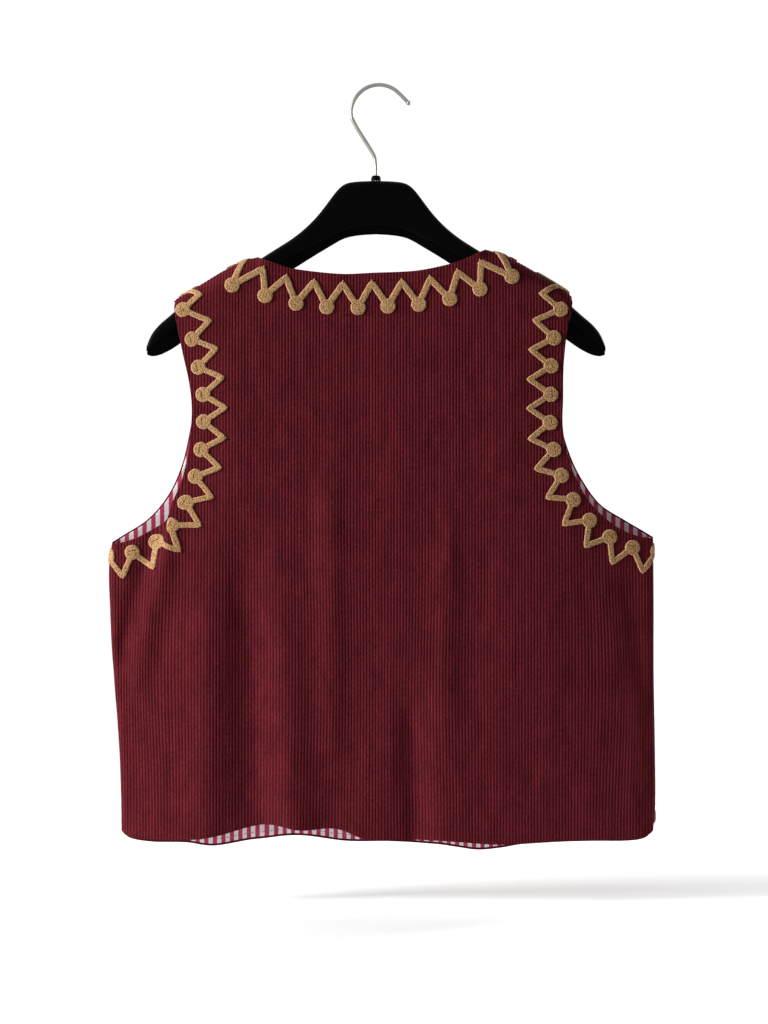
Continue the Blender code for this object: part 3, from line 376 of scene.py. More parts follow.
# Camera: level, facing the wearer's back
CAMERA_PLACE = (4.785, -2212.0, -409.2)
VIEW_HEIGHT = 980.0
VIEW_DISTANCE = 2200.0
SENSOR = 36.0
FLOOR_REACH = 0.85
KEY_PLACE = (-2.5, -0.88, 0.35)
KEY_SIZE = 0.9
FILL_PLACE = (2.1, 1.5, 0.35)
TOP_PLACE = (0.0, 0.0, 1.7)
TOP_SIZE = 3.0
PAPER_WHITE = 1.05


def to_linear(code):
    """The linear colour of an sRGB hex value."""
    channels = [int(code[i:i + 2], 16) / 255 for i in (1, 3, 5)]
    return tuple(c / 12.92 if c <= 0.04045 else ((c + 0.055) / 1.055) ** 2.4 for c in channels)


class VestClothSettings(bpy.types.PropertyGroup):
    """Sizes and colours of the corduroy and its lining."""

    wale_pitch: FloatProperty(
        name="Wale pitch", description="Distance from one wale of the corduroy to the next",
        default=2.97 * MM, min=1.0 * MM, precision=5, unit="LENGTH")
    wale_height: FloatProperty(
        name="Wale height", description="How far a wale stands over the channel beside it",
        default=0.42 * MM, min=0.0, precision=5, unit="LENGTH")
    corduroy_thickness: FloatProperty(
        name="Corduroy thickness", description="Thickness of the corduroy's ground cloth",
        default=1.6 * MM, min=0.5 * MM, precision=5, unit="LENGTH")
    lining_thickness: FloatProperty(
        name="Lining thickness", description="Thickness of the lining with its seam",
        default=0.7 * MM, min=0.1 * MM, precision=5, unit="LENGTH")
    stripe_pitch: FloatProperty(
        name="Stripe pitch", description="Width of one red and one white stripe together",
        default=8.4 * MM, min=1.0 * MM, precision=5, unit="LENGTH")
    # The crown colour carries a painted sheen and the channel colour a painted shade
    crown_sheen_colour: FloatVectorProperty(
        name="Wale crown", description="Colour of the corduroy's pile on top of a wale",
        subtype="COLOR", default=to_linear("#521C23"), min=0.0, max=1.0)
    channel_shade_colour: FloatVectorProperty(
        name="Wale channel", description="Colour of the corduroy between two wales",
        subtype="COLOR", default=to_linear("#46090E"), min=0.0, max=1.0)
    red_stripe: FloatVectorProperty(
        name="Red stripe", description="Colour of the lining's red stripe",
        subtype="COLOR", default=to_linear("#B03A5C"), min=0.0, max=1.0)
    white_stripe: FloatVectorProperty(
        name="White stripe", description="Colour of the lining's white stripe",
        subtype="COLOR", default=to_linear("#E4DDDF"), min=0.0, max=1.0)


class VestBorderSettings(bpy.types.PropertyGroup):
    """Sizes and colours of the stitched border."""

    loop_size: FloatProperty(
        name="Loop size", description="Size of one loop of the border's stitching",
        default=1.5 * MM, min=0.3 * MM, precision=5, unit="LENGTH")
    thread_colour: FloatVectorProperty(
        name="Thread", description="Colour of the border's thread in the light",
        subtype="COLOR", default=to_linear("#B08A5E"), min=0.0, max=1.0)
    # Painted shade: the thread between the loops
    between_loops_shade_colour: FloatVectorProperty(
        name="Thread shade", description="Colour of the border's thread between its loops",
        subtype="COLOR", default=to_linear("#7D5C38"), min=0.0, max=1.0)
    edge_colour: FloatVectorProperty(
        name="Outer row", description="Colour of the thread along the border's outline",
        subtype="COLOR", default=to_linear("#B98C72"), min=0.0, max=1.0)
    # Painted shade: the dark needle pricks
    prick_shade_colour: FloatVectorProperty(
        name="Needle prick", description="Colour of the small dark holes in the border",
        subtype="COLOR", default=to_linear("#5A3416"), min=0.0, max=1.0)


class VestHangerSettings(bpy.types.PropertyGroup):
    """Sizes and colours of the hanger and its hook."""

    wire_radius: FloatProperty(
        name="Wire radius", description="Radius of the hook's wire",
        default=1.9 * MM, min=0.5 * MM, precision=5, unit="LENGTH")
    plastic_colour: FloatVectorProperty(
        name="Plastic", description="Colour of the hanger's plastic",
        subtype="COLOR", default=to_linear("#030303"), min=0.0, max=1.0)
    steel_colour: FloatVectorProperty(
        name="Steel", description="Colour of the hook's wire",
        subtype="COLOR", default=to_linear("#827F79"), min=0.0, max=1.0)


class VestStageSettings(bpy.types.PropertyGroup):
    """The floor, the lights and the surroundings."""

    floor_height: FloatProperty(
        name="Floor height", description="Height of the floor under the hem",
        default=FLOOR_Z, unit="LENGTH")
    key_power: FloatProperty(
        name="Key light", description="Power of the soft light on the back", default=155.0,
        min=0.0, subtype="POWER")
    fill_power: FloatProperty(
        name="Fill light", description="Power of the soft light on the front", default=80.0,
        min=0.0, subtype="POWER")
    top_power: FloatProperty(
        name="Top light", description="Power of the wide light overhead", default=16.0,
        min=0.0, subtype="POWER")
    sky_strength: FloatProperty(
        name="Sky strength", description="How much light the surroundings give",
        default=0.12, min=0.0)
    floor_colour: FloatVectorProperty(
        name="Floor", description="Colour of the floor", subtype="COLOR",
        default=to_linear("#FDFDFD"), min=0.0, max=1.0)


def smooth_curve(points, step):
    """Places about a step apart on a smooth curve through the given ones."""
    ends = np.array([points[0], *points, points[-1]], dtype=float)
    curve = []
    for before, start, end, after in zip(ends, ends[1:], ends[2:], ends[3:]):
        count = max(1, round(float(np.linalg.norm(end - start)) / step))
        for t in np.arange(count) / count:
            curve.append(0.5 * (2 * start + (end - before) * t
                                + (2 * before - 5 * start + 4 * end - after) * t ** 2
                                + (3 * start - before - 3 * end + after) * t ** 3))
    curve.append(ends[-1])
    return np.array(curve)


def by_column(places, column):
    return places[np.argsort(places[:, column], kind="stable")]


RIDGE_LINE = by_column(np.vstack([smooth_curve(SHOULDER_LEFT, SEAM_STEP),
                                  np.array(OPEN_RIDGE),
                                  smooth_curve(SHOULDER_RIGHT, SEAM_STEP)]), 0)
LEFT_SIDE_LINE = by_column(smooth_curve(SIDE_LEFT, SEAM_STEP), 1)
RIGHT_SIDE_LINE = by_column(smooth_curve(SIDE_RIGHT, SEAM_STEP), 1)


def ridge_z(x):
    """Height of the shoulder ridge, carried on over the open neck."""
    return np.interp(x, RIDGE_LINE[:, 0], RIDGE_LINE[:, 1])


def left_x(z):
    return np.interp(z, LEFT_SIDE_LINE[:, 1], LEFT_SIDE_LINE[:, 0])


def right_x(z):
    return np.interp(z, RIGHT_SIDE_LINE[:, 1], RIGHT_SIDE_LINE[:, 0])


def seam_distance(x, z):
    """How far in from the nearer side seam each place is."""
    return np.maximum(0.0, np.minimum(x - left_x(z), right_x(z) - x))


def bend(distance, radius):
    """Share of its full depth that a round edge has reached at each distance in."""
    return np.sqrt(np.maximum(0.0, 1 - np.maximum(0.0, 1 - distance / radius) ** 2))


def along_and_across(line, x, z):
    """Share of the way down a fold's line, and half widths away from it."""
    t = (z - line.z_top) / (line.z_foot - line.z_top)
    across = (x - line.x_top - (line.x_foot - line.x_top) * t) / line.width
    return np.clip(t, 0.0, 1.0), across


def fold_height(folds, fade, growth, x, z):
    """How far some folds push the cloth out at each place."""
    total = np.zeros_like(x)
    for fold in folds:
        share, across = along_and_across(fold, x, z)
        risen = share if fold.runs_out else 2 * np.minimum(share, 1 - share)
        along = np.sin(pi / 2 * np.minimum(1.0, growth * risen))
        total += fold.height * along ** 2 * np.exp(-0.5 * across ** 2)
    return total * np.minimum(seam_distance(x, z) / fade, 1.0)


def pulled_askew(pulls, x, z):
    """How far the cloth has moved along X at each place."""
    total = np.zeros_like(x)
    for pull in pulls:
        share, across = along_and_across(pull, x, z)
        moved = (pull.slide - pull.draw * across) * np.exp(-0.5 * across ** 2)
        total += moved * np.sin(pi * share) ** 2
    return total * np.minimum(seam_distance(x, z) / FOLD_FADE, 1.0)


def cloth_surface(side, x, z):
    """The cloth's surface at each place of the outline."""
    distance = seam_distance(x, z)
    down = np.clip((z - SHOULDER_Z) / (HEM_Z - SHOULDER_Z), 0.0, 1.0)
    deepest = SHOULDER_HALF_DEPTH + (HEM_HALF_DEPTH - SHOULDER_HALF_DEPTH) * down
    swell = (deepest - SIDE_ROUND) * np.sin(pi / 2 * np.minimum(distance / SIDE_SPREAD, 1.0))
    depth = SIDE_ROUND * bend(distance, SIDE_ROUND) + swell
    depth = depth * bend(np.maximum(0.0, ridge_z(x) - z), RIDGE_ROUND)
    depth = depth + fold_height(FOLDS[side], FOLD_FADE, 1.0, x, z)
    depth = depth + fold_height(CREASES[side], CREASE_FADE, CREASE_GROWTH, x, z)
    depth = depth + SLACK * uneven(x, z * 0.4, 60.0) * np.minimum(distance / SIDE_SPREAD, 1.0)
    return np.stack([x + pulled_askew(PULLS[side], x, z), side * depth, z], axis=1)


def unroll(places):
    """Places in the outline, moved to the flat panel where the bends are opened."""
    x, z = places[:, 0], places[:, 1]
    drop = ridge_z(x) - z
    for line, way in ((left_x(z), 1), (right_x(z), -1)):
        distance = (x - line) * way
        turn = np.arcsin(np.clip(1 - distance / SIDE_ROUND, -1.0, 1.0))
        x = np.where(distance < SIDE_ROUND, line + way * SIDE_ROUND * (1 - turn), x)
    turn = np.arcsin(np.clip(1 - drop / RIDGE_ROUND, -1.0, 1.0))
    z = np.where(drop < RIDGE_ROUND, z + drop - RIDGE_ROUND * (1 - turn), z)
    return np.stack([x, z], axis=1)


def roll(side, flat):
    """The cloth's surface at each place on the flat panel."""
    x, z = flat[:, 0], flat[:, 1]
    for line, way in ((left_x(z), 1), (right_x(z), -1)):
        past = SIDE_ROUND - (x - line) * way
        turned = np.sin(np.clip(past / SIDE_ROUND, 0.0, pi / 2))
        x = np.where(past > 0, line + way * SIDE_ROUND * (1 - turned), x)
    top = ridge_z(x)
    past = z - top + RIDGE_ROUND
    turned = np.sin(np.clip(past / RIDGE_ROUND, 0.0, pi / 2))
    z = np.where(past > 0, top - RIDGE_ROUND * (1 - turned), z)
    return cloth_surface(side, x, z)


def hang_places(side, laid):
    """Where laid places hang: their third column is a height over the cloth."""
    flat, height = laid[:, :2], laid[:, 2:]
    x = np.clip(flat[:, 0], left_seam(flat[:, 1]), right_seam(flat[:, 1]))
    near = np.stack([x, np.minimum(flat[:, 1], shoulder_seam(x))], axis=1)
    reach = 0.6
    across = roll(side, near + (reach, 0.0)) - roll(side, near - (reach, 0.0))
    down = roll(side, near - (0.0, reach)) - roll(side, near + (0.0, reach))
    normal = np.cross(across, down) * side
    normal /= np.linalg.norm(normal, axis=1, keepdims=True)
    return roll(side, flat) + normal * height


def shoulder_seam(x):
    """Height of the shoulder seam on the flat panel."""
    return ridge_z(x) + RIDGE_ROUND * (pi / 2 - 1)


def left_seam(z):
    return left_x(z) - SIDE_ROUND * (pi / 2 - 1)


def right_seam(z):
    return right_x(z) + SIDE_ROUND * (pi / 2 - 1)


def over_shoulder(flat):
    """Places mirrored over the shoulder seam of the flat panel."""
    return np.stack([flat[:, 0], 2 * shoulder_seam(flat[:, 0]) - flat[:, 1]], axis=1)


def round_left(flat):
    return np.stack([2 * left_seam(flat[:, 1]) - flat[:, 0], flat[:, 1]], axis=1)


def round_right(flat):
    return np.stack([2 * right_seam(flat[:, 1]) - flat[:, 0], flat[:, 1]], axis=1)


def uneven(x, z, size):
    """A smooth unevenness from -1 to 1, with lumps of about a size."""
    a = np.sin(x / size * 2.1 + 1.3 * np.sin(z / size * 1.7 + 0.6))
    b = np.sin(z / size * 2.6 + 1.1 * np.sin(x / size * 1.9 + 2.2) + 0.9)
    c = np.sin((x + z) / size * 3.7 + 2.5) * np.sin((x - z) / size * 3.1 + 0.4)
    return (a + b + c) / 3


def new_piece(name, mesh, side, material, slot, *nodes):
    """Hang a flat piece, and put it on the frame in place of its solids."""
    laid = np.array([v.co for v in mesh.verts])
    for vertex, place in zip(mesh.verts, hang_places(side, laid)):
        vertex.co = place * MM
    if side == FRONT:
        bmesh.ops.reverse_faces(mesh, faces=mesh.faces[:])
    return finish_piece(name, mesh, material, slot, *nodes)


def finish_piece(name, mesh, material, slot, *nodes):
    """A smooth object from a mesh in metres, riding on the frame."""
    for face in mesh.faces:
        face.smooth = True
    data = to_mesh_data(mesh, name)
    data.materials.append(material)
    data.set_sharp_from_angle(angle=radians(60.0))
    piece = bpy.data.objects.new(name, data)
    bpy.context.collection.objects.link(piece)
    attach(piece, "root")
    if nodes:
        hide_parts(*nodes)
    return piece


def cut_across(mesh, axis, levels):
    """Cut a flat mesh along lines across an axis."""
    normal = Vector((0.0, 0.0, 0.0))
    normal[axis] = 1.0
    for level in levels:
        every = [*mesh.verts, *mesh.edges, *mesh.faces]
        bmesh.ops.bisect_plane(mesh, geom=every, dist=0.01, plane_co=normal * level,
                               plane_no=normal)


def cut_cloth(outline, edge):
    """A flat sheet with a narrow strip along its edge, facing up."""
    mesh = bmesh.new()
    sheet = mesh.faces.new([mesh.verts.new((x, z, 0.0)) for x, z in outline])
    sheet.normal_update()
    if sheet.normal.z < 0:
        sheet.normal_flip()
    bmesh.ops.inset_region(mesh, faces=[sheet], thickness=edge, use_boundary=True,
                           use_even_offset=True)
    return mesh


def rows_between(low, high):
    """Levels of the rows: close together over the shoulder, wider below."""
    wide = np.arange(low + ROW_STEP / 2, min(high, RIDGE_ROWS_FROM), ROW_STEP)
    close = np.arange(RIDGE_ROWS_FROM, high, RIDGE_ROW_STEP)
    return [*wide, *close]


def wale_columns(low, high, pitch):
    """Levels of the columns: at the channel, the two flanks and the crown of each wale."""
    first, last = int(low // pitch), int(high // pitch)
    levels = [(k + share) * pitch for k in range(first, last + 1) for share in WALE_COLUMNS]
    return [level for level in levels if low < level < high]


def give_thickness(mesh, top, bottom):
    """Turn a flat sheet into a closed one; top and bottom give each side's heights."""
    rim = mesh.verts.layers.float.new("rim")
    for vertex in mesh.verts:
        vertex[rim] = float(vertex.is_boundary)
    under = mesh.verts[:]
    made = bmesh.ops.extrude_face_region(mesh, geom=mesh.faces[:])
    over = [item for item in made["geom"] if isinstance(item, bmesh.types.BMVert)]
    for vertices, heights in ((over, top), (under, bottom)):
        laid = np.array([(v.co.x, v.co.y, v[rim]) for v in vertices])
        for vertex, height in zip(vertices, heights(laid[:, 0], laid[:, 1], laid[:, 2])):
            vertex.co.z = height
    mesh.verts.layers.float.remove(rim)


def mark_flat_cut(mesh):
    """Keep each vertex's flat place, in metres, as the piece's UV map."""
    layer = mesh.loops.layers.uv.new("flat_cut")
    for face in mesh.faces:
        for loop in face.loops:
            loop[layer].uv = loop.vert.co.xy * MM


def add_node(tree, kind, inputs=None, **settings):
    """Add a node with its settings, and give it its inputs."""
    node = tree.nodes.new(kind)
    for name, value in settings.items():
        setattr(node, name, value)
    give_inputs(tree, node, inputs or {})
    return node


def give_inputs(tree, node, inputs):
    """Set a node's inputs to values, or link them from sockets."""
    for name, value in inputs.items():
        if isinstance(value, bpy.types.NodeSocket):
            tree.links.new(value, node.inputs[name])
        else:
            node.inputs[name].default_value = value


def new_material(name):
    """A material with a Principled shader, and its tree."""
    material = bpy.data.materials.new(name)
    material.use_nodes = True
    tree = material.node_tree
    return material, tree, tree.nodes["Principled BSDF"]


def rgba(colour):
    return (*colour, 1.0)


def lighten(tree, colour, value, low, high):
    """A colour made darker or lighter by a noise's socket, between two factors."""
    light = add_node(tree, "ShaderNodeMapRange", {
        "Value": value, "From Min": 0.3, "From Max": 0.7, "To Min": low, "To Max": high})
    return add_node(tree, "ShaderNodeVectorMath", {
        0: colour, "Scale": light.outputs[0]}, operation="SCALE").outputs[0]


def corduroy_material(cloth):
    """Cotton corduroy, woven with a pile that is cut and brushed into wales.

    The crowns are painted lighter and greyer, a painted sheen, and the channels darker, a
    painted shade; the pile lies lighter or darker in patches where it has been stroked.
    """
    material, tree, shader = new_material("cotton_corduroy_cut_pile")
    flat = add_node(tree, "ShaderNodeUVMap", uv_map="flat_cut").outputs["UV"]
    across = add_node(tree, "ShaderNodeSeparateXYZ", {"Vector": flat}).outputs["X"]
    wavering = add_node(tree, "ShaderNodeTexNoise", {"Vector": flat, "Scale": 260.0})
    across = add_node(tree, "ShaderNodeMath", {
        0: wavering.outputs[0], 1: 0.5 * MM, 2: across}, operation="MULTIPLY_ADD").outputs[0]
    wales = add_node(tree, "ShaderNodeMath", {
        0: across, 1: 1 / cloth.wale_pitch, 2: -0.25 * MM / cloth.wale_pitch},
        operation="MULTIPLY_ADD").outputs[0]
    crown = add_node(tree, "ShaderNodeMath", {0: wales, 1: 0.5},
                     operation="PINGPONG").outputs[0]
    crown = add_node(tree, "ShaderNodeMapRange", {
        "Value": crown, "From Min": 0.04, "From Max": 0.34},
        interpolation_type="SMOOTHSTEP").outputs[0]
    stroked = add_node(tree, "ShaderNodeMapping", {"Vector": flat, "Scale": (1.0, 0.4, 1.0)})
    # Stroked patches are 10 to 30 mm long, and tufts about 1.2 mm
    patches = add_node(tree, "ShaderNodeTexNoise", {
        "Vector": stroked.outputs[0], "Scale": 90.0, "Detail": 4.0, "Roughness": 0.65})
    tufts = add_node(tree, "ShaderNodeTexNoise", {
        "Vector": stroked.outputs[0], "Scale": 820.0, "Detail": 2.0, "Roughness": 0.6})
    # Some wales lie lighter than their neighbours over most of their length
    lying = add_node(tree, "ShaderNodeMapping", {"Vector": flat, "Scale": (1.0, 0.03, 1.0)})
    lie = add_node(tree, "ShaderNodeTexNoise", {
        "Vector": lying.outputs[0], "Scale": 1 / cloth.wale_pitch, "Detail": 1.0})
    # Painted sheen on the crowns and painted shade in the channels, mixed by the crown mask
    colour = add_node(tree, "ShaderNodeMix", {
        0: crown, 6: rgba(cloth.channel_shade_colour), 7: rgba(cloth.crown_sheen_colour)},
        data_type="RGBA").outputs[2]
    colour = lighten(tree, colour, patches.outputs[0], 0.76, 1.2)
    colour = lighten(tree, colour, tufts.outputs[0], 0.68, 1.34)
    colour = lighten(tree, colour, lie.outputs[0], 0.88, 1.12)
    pile = add_node(tree, "ShaderNodeMath", {0: crown, 1: tufts.outputs[0]},
                    operation="MULTIPLY")
    bump = add_node(tree, "ShaderNodeBump", {
        "Strength": 0.7, "Distance": 0.4 * MM, "Height": pile.outputs[0]})
    give_inputs(tree, shader, {
        "Base Color": colour, "Normal": bump.outputs[0], "Roughness": 0.95,
        "Specular IOR Level": 0.03, "Sheen Weight": 0.12, "Sheen Roughness": 0.4,
        "Sheen Tint": rgba(to_linear("#B0505F"))})
    return material


def lining_material(cloth):
    """Cotton, plain-woven, with equal red and white stripes along the grain."""
    material, tree, shader = new_material("plain_woven_cotton_striped")
    flat = add_node(tree, "ShaderNodeUVMap", uv_map="flat_cut").outputs["UV"]
    across = add_node(tree, "ShaderNodeSeparateXYZ", {"Vector": flat}).outputs["X"]
    stripes = add_node(tree, "ShaderNodeMath", {0: across, 1: 1 / cloth.stripe_pitch},
                       operation="MULTIPLY").outputs[0]
    stripe = add_node(tree, "ShaderNodeMath", {0: stripes, 1: 0.5},
                      operation="PINGPONG").outputs[0]
    stripe = add_node(tree, "ShaderNodeMapRange", {
        "Value": stripe, "From Min": 0.235, "From Max": 0.265}).outputs[0]
    # Threads are 0.4 mm apart, drawn twice as coarse so that they show
    weave = add_node(tree, "ShaderNodeTexVoronoi", {
        "Vector": flat, "Scale": 1 / (0.8 * MM), "Randomness": 0.35},
        voronoi_dimensions="2D", distance="CHEBYCHEV")
    worn = add_node(tree, "ShaderNodeTexNoise", {
        "Vector": flat, "Scale": 160.0, "Detail": 3.0})
    colour = add_node(tree, "ShaderNodeMix", {
        0: stripe, 6: rgba(cloth.red_stripe), 7: rgba(cloth.white_stripe)},
        data_type="RGBA").outputs[2]
    colour = lighten(tree, colour, worn.outputs[0], 0.9, 1.06)
    bump = add_node(tree, "ShaderNodeBump", {
        "Strength": 0.35, "Distance": 0.2 * MM, "Height": weave.outputs["Distance"]})
    give_inputs(tree, shader, {
        "Base Color": colour, "Normal": bump.outputs[0], "Roughness": 0.8,
        "Specular IOR Level": 0.1, "Sheen Weight": 0.1})
    return material


def thread_material(border):
    """Matt wool thread, chain-stitched by machine in close loops.

    Each loop stands up; the thread between the loops is painted darker as painted shade,
    and here and there a dark pinprick of painted shade shows where the needle went in.
    """
    material, tree, shader = new_material("chain_stitched_wool_thread")
    flat = add_node(tree, "ShaderNodeUVMap", uv_map="flat_cut").outputs["UV"]
    loops = add_node(tree, "ShaderNodeTexVoronoi", {
        "Vector": flat, "Scale": 1 / border.loop_size, "Randomness": 0.8},
        voronoi_dimensions="2D")
    pricks = add_node(tree, "ShaderNodeTexVoronoi", {
        "Vector": flat, "Scale": 0.45 / border.loop_size}, voronoi_dimensions="2D")
    worn = add_node(tree, "ShaderNodeTexNoise", {
        "Vector": flat, "Scale": 240.0, "Detail": 3.0, "Roughness": 0.6})
    # Mask for the painted shade between the loops
    between = add_node(tree, "ShaderNodeMapRange", {
        "Value": loops.outputs["Distance"], "From Min": 0.25, "From Max": 0.75}).outputs[0]
    # Mask for the painted shade in the needle pricks
    prick = add_node(tree, "ShaderNodeMapRange", {
        "Value": pricks.outputs["Distance"], "From Min": 0.08, "From Max": 0.2,
        "To Min": 0.85, "To Max": 0.0}).outputs[0]
    outer = add_node(tree, "ShaderNodeAttribute", attribute_name="outer_row").outputs["Fac"]
    outer = add_node(tree, "ShaderNodeMath", {0: outer, 1: 0.45},
                     operation="MULTIPLY").outputs[0]
    colour = rgba(border.thread_colour)
    # Painted shade between the loops and in the needle pricks
    for share, other in ((between, border.between_loops_shade_colour), (prick, border.prick_shade_colour),
                         (outer, border.edge_colour)):
        colour = add_node(tree, "ShaderNodeMix", {0: share, 6: colour, 7: rgba(other)},
                          data_type="RGBA").outputs[2]
    colour = lighten(tree, colour, worn.outputs[0], 0.84, 1.1)
    height = add_node(tree, "ShaderNodeMath", {0: 1.0, 1: loops.outputs["Distance"]},
                      operation="SUBTRACT")
    bump = add_node(tree, "ShaderNodeBump", {
        "Strength": 0.8, "Distance": 0.5 * MM, "Height": height.outputs[0]})
    give_inputs(tree, shader, {
        "Base Color": colour, "Normal": bump.outputs[0], "Roughness": 0.85,
        "Specular IOR Level": 0.06, "Sheen Weight": 0.15})
    return material


def sewing_thread_material():
    """Cotton sewing thread, spun and twisted, of a dull grey."""
    material, tree, shader = new_material("spun_cotton_sewing_thread")
    flat = add_node(tree, "ShaderNodeUVMap", uv_map="flat_cut").outputs["UV"]
    # The ply's twist is 0.3 mm, drawn at 0.6 mm so that it shows
    twist = add_node(tree, "ShaderNodeTexNoise", {
        "Vector": flat, "Scale": 1 / (0.6 * MM), "Detail": 1.0})
    colour = lighten(tree, to_linear("#77686E"), twist.outputs[0], 0.8, 1.15)
    bump = add_node(tree, "ShaderNodeBump", {
        "Strength": 0.4, "Distance": 0.1 * MM, "Height": twist.outputs[0]})
    give_inputs(tree, shader, {
        "Base Color": colour, "Normal": bump.outputs[0], "Roughness": 0.7})
    return material


def plastic_material(hanger):
    """Polystyrene, injection-moulded in black, with a fine matt mould finish."""
    material, tree, shader = new_material("injection_moulded_polystyrene")
    place = add_node(tree, "ShaderNodeTexCoord").outputs["Object"]
    # Mould grain is 0.2 mm, drawn at 0.5 mm so that it shows
    grain = add_node(tree, "ShaderNodeTexNoise", {
        "Vector": place, "Scale": 1 / (0.5 * MM), "Detail": 1.0})
    handled = add_node(tree, "ShaderNodeTexNoise", {
        "Vector": place, "Scale": 28.0, "Detail": 4.0, "Roughness": 0.65})
    gloss = add_node(tree, "ShaderNodeMapRange", {
        "Value": handled.outputs[0], "From Min": 0.3, "From Max": 0.7, "To Min": 0.30,
        "To Max": 0.44})
    bump = add_node(tree, "ShaderNodeBump", {
        "Strength": 0.12, "Distance": 0.05 * MM, "Height": grain.outputs[0]})
    give_inputs(tree, shader, {
        "Base Color": rgba(hanger.plastic_colour), "Normal": bump.outputs[0],
        "Roughness": gloss.outputs[0], "IOR": 1.55, "Specular IOR Level": 0.015})
    return material


def steel_material(hanger):
    """Steel wire, drawn through a die and plated, its gloss dulled by handling."""
    material, tree, shader = new_material("drawn_plated_steel_wire")
    place = add_node(tree, "ShaderNodeTexCoord").outputs["Object"]
    # Handled patches are about 11 mm long
    handled = add_node(tree, "ShaderNodeTexNoise", {
        "Vector": place, "Scale": 90.0, "Detail": 1.0})
    gloss = add_node(tree, "ShaderNodeMapRange", {
        "Value": handled.outputs[0], "From Min": 0.3, "From Max": 0.7, "To Min": 0.4,
        "To Max": 0.5})
    give_inputs(tree, shader, {
        "Base Color": rgba(hanger.steel_colour), "Metallic": 1.0,
        "Roughness": gloss.outputs[0]})
    return material


def floor_material(stage):
    """Matt white paper, with faint fibres and no pattern of its own."""
    material, tree, shader = new_material("matt_white_paper")
    place = add_node(tree, "ShaderNodeTexCoord").outputs["Object"]
    fibres = add_node(tree, "ShaderNodeTexNoise", {"Vector": place, "Scale": 700.0})
    bump = add_node(tree, "ShaderNodeBump", {
        "Strength": 0.1, "Distance": 0.05 * MM, "Height": fibres.outputs[0]})
    give_inputs(tree, shader, {
        "Base Color": rgba(stage.floor_colour), "Normal": bump.outputs[0], "Roughness": 0.9,
        "Specular IOR Level": 0.1})
    return material


def loft(mesh, rings):
    """A closed body through rings of places, each extruded to the next."""
    order = mesh.verts.layers.int.get("order") or mesh.verts.layers.int.new("order")
    corners = [mesh.verts.new(place) for place in rings[0]]
    for k, corner in enumerate(corners):
        corner[order] = k
    end = mesh.faces.new(corners)
    for ring in rings[1:]:
        grown = bmesh.ops.extrude_face_region(mesh, geom=[end, *end.edges])["geom"]
        end = next(item for item in grown if isinstance(item, bmesh.types.BMFace))
        for corner in end.verts:
            corner.co = ring[corner[order]]


def to_mesh_data(mesh, name):
    """Mesh data from a bmesh that is done with."""
    data = bpy.data.meshes.new(name)
    mesh.to_mesh(data)
    mesh.free()
    return data


def move_each(mesh, change):
    """Move every vertex by what a function of all their places gives."""
    places = np.array([v.co for v in mesh.verts])
    for vertex, place in zip(mesh.verts, places + change(places)):
        vertex.co = place


BACK_CURVES = [(SHOULDER_LEFT, "seam"), (NECK_BACK, "neck"), (SHOULDER_RIGHT[::-1], "seam"),
               (ARMHOLE_BACK_RIGHT, "armhole"), (SIDE_RIGHT, "seam"),
               (HEM_BACK[::-1], "hem"), (SIDE_LEFT[::-1], "seam"),
               (ARMHOLE_BACK_LEFT[::-1], "armhole")]
FRONT_LEFT_CURVES = [(SHOULDER_LEFT, "seam"), (NECK_FRONT_LEFT, "neck"),
                     (CENTRE_LEFT, "centre"), (HEM_FRONT_LEFT[::-1], "hem"),
                     (SIDE_LEFT[::-1], "seam"), (ARMHOLE_FRONT_LEFT[::-1], "armhole")]
FRONT_RIGHT_CURVES = [(SHOULDER_RIGHT[::-1], "seam"), (ARMHOLE_FRONT_RIGHT, "armhole"),
                      (SIDE_RIGHT, "seam"), (HEM_FRONT_RIGHT[::-1], "hem"),
                      (CENTRE_RIGHT[::-1], "centre"), (NECK_FRONT_RIGHT[::-1], "neck")]
PANELS = {
    "back": (BACK, BACK_CURVES),
    "front_left": (FRONT, FRONT_LEFT_CURVES),
    "front_right": (FRONT, FRONT_RIGHT_CURVES),
}


def inset_outline(curves, insets):
    """A closed flat outline from curves end to end, each moved in by its own inset."""
    edges = [(unroll(smooth_curve(curve, SEAM_STEP)), insets[kind]) for curve, kind in curves]
    lines = []
    for line, inset in edges:
        runs = np.gradient(line, axis=0)
        inward = np.stack([runs[:, 1], -runs[:, 0]], axis=1)
        moved = line + inward / np.linalg.norm(inward, axis=1, keepdims=True) * inset
        clear = np.ones(len(moved), dtype=bool)
        for other, distance in edges:
            gaps = np.linalg.norm(moved[:, None, :] - other[None, :, :], axis=2)
            clear &= gaps.min(axis=1) >= distance - OUTLINE_SLACK
        lines.append(moved[clear])
    kept = []
    for place in np.vstack(lines):
        if not kept or np.linalg.norm(place - kept[-1]) > SHORTEST_STEP:
            kept.append(place)
    if np.linalg.norm(kept[0] - kept[-1]) < SHORTEST_STEP:
        kept.pop()
    return np.array(kept)


def make_panel(name, side, curves, cloth, material):
    """A panel of corduroy with every wale raised, in place of its solid."""
    outline = inset_outline(curves, BACK_INSETS if side == BACK else FRONT_INSETS)
    pitch, rise = cloth.wale_pitch / MM, cloth.wale_height / MM
    thickness = cloth.corduroy_thickness / MM
    low, high = outline.min(axis=0), outline.max(axis=0)
    mesh = cut_cloth(outline, EDGE_ROLL)
    cut_across(mesh, 0, wale_columns(low[0], high[0], pitch))
    cut_across(mesh, 1, rows_between(low[1], high[1]))
    mark_flat_cut(mesh)

    def pile(x, z, rim):
        crown = np.abs(np.sin(pi * x / pitch)) ** WALE_FULLNESS
        height = rise * crown * (1 + WALE_UNEVEN * uneven(x / 3, z, 4.0)) - CHANNEL_DEPTH
        return np.where(rim > 0.5, RIM_DROP, height)

    def wrong_side(x, z, rim):
        return np.where(rim > 0.5, (RIM_DROP - thickness) / 2, -thickness)

    give_thickness(mesh, pile, wrong_side)
    return new_piece(f"{name}_corduroy", mesh, side, material, "corduroy", name), outline


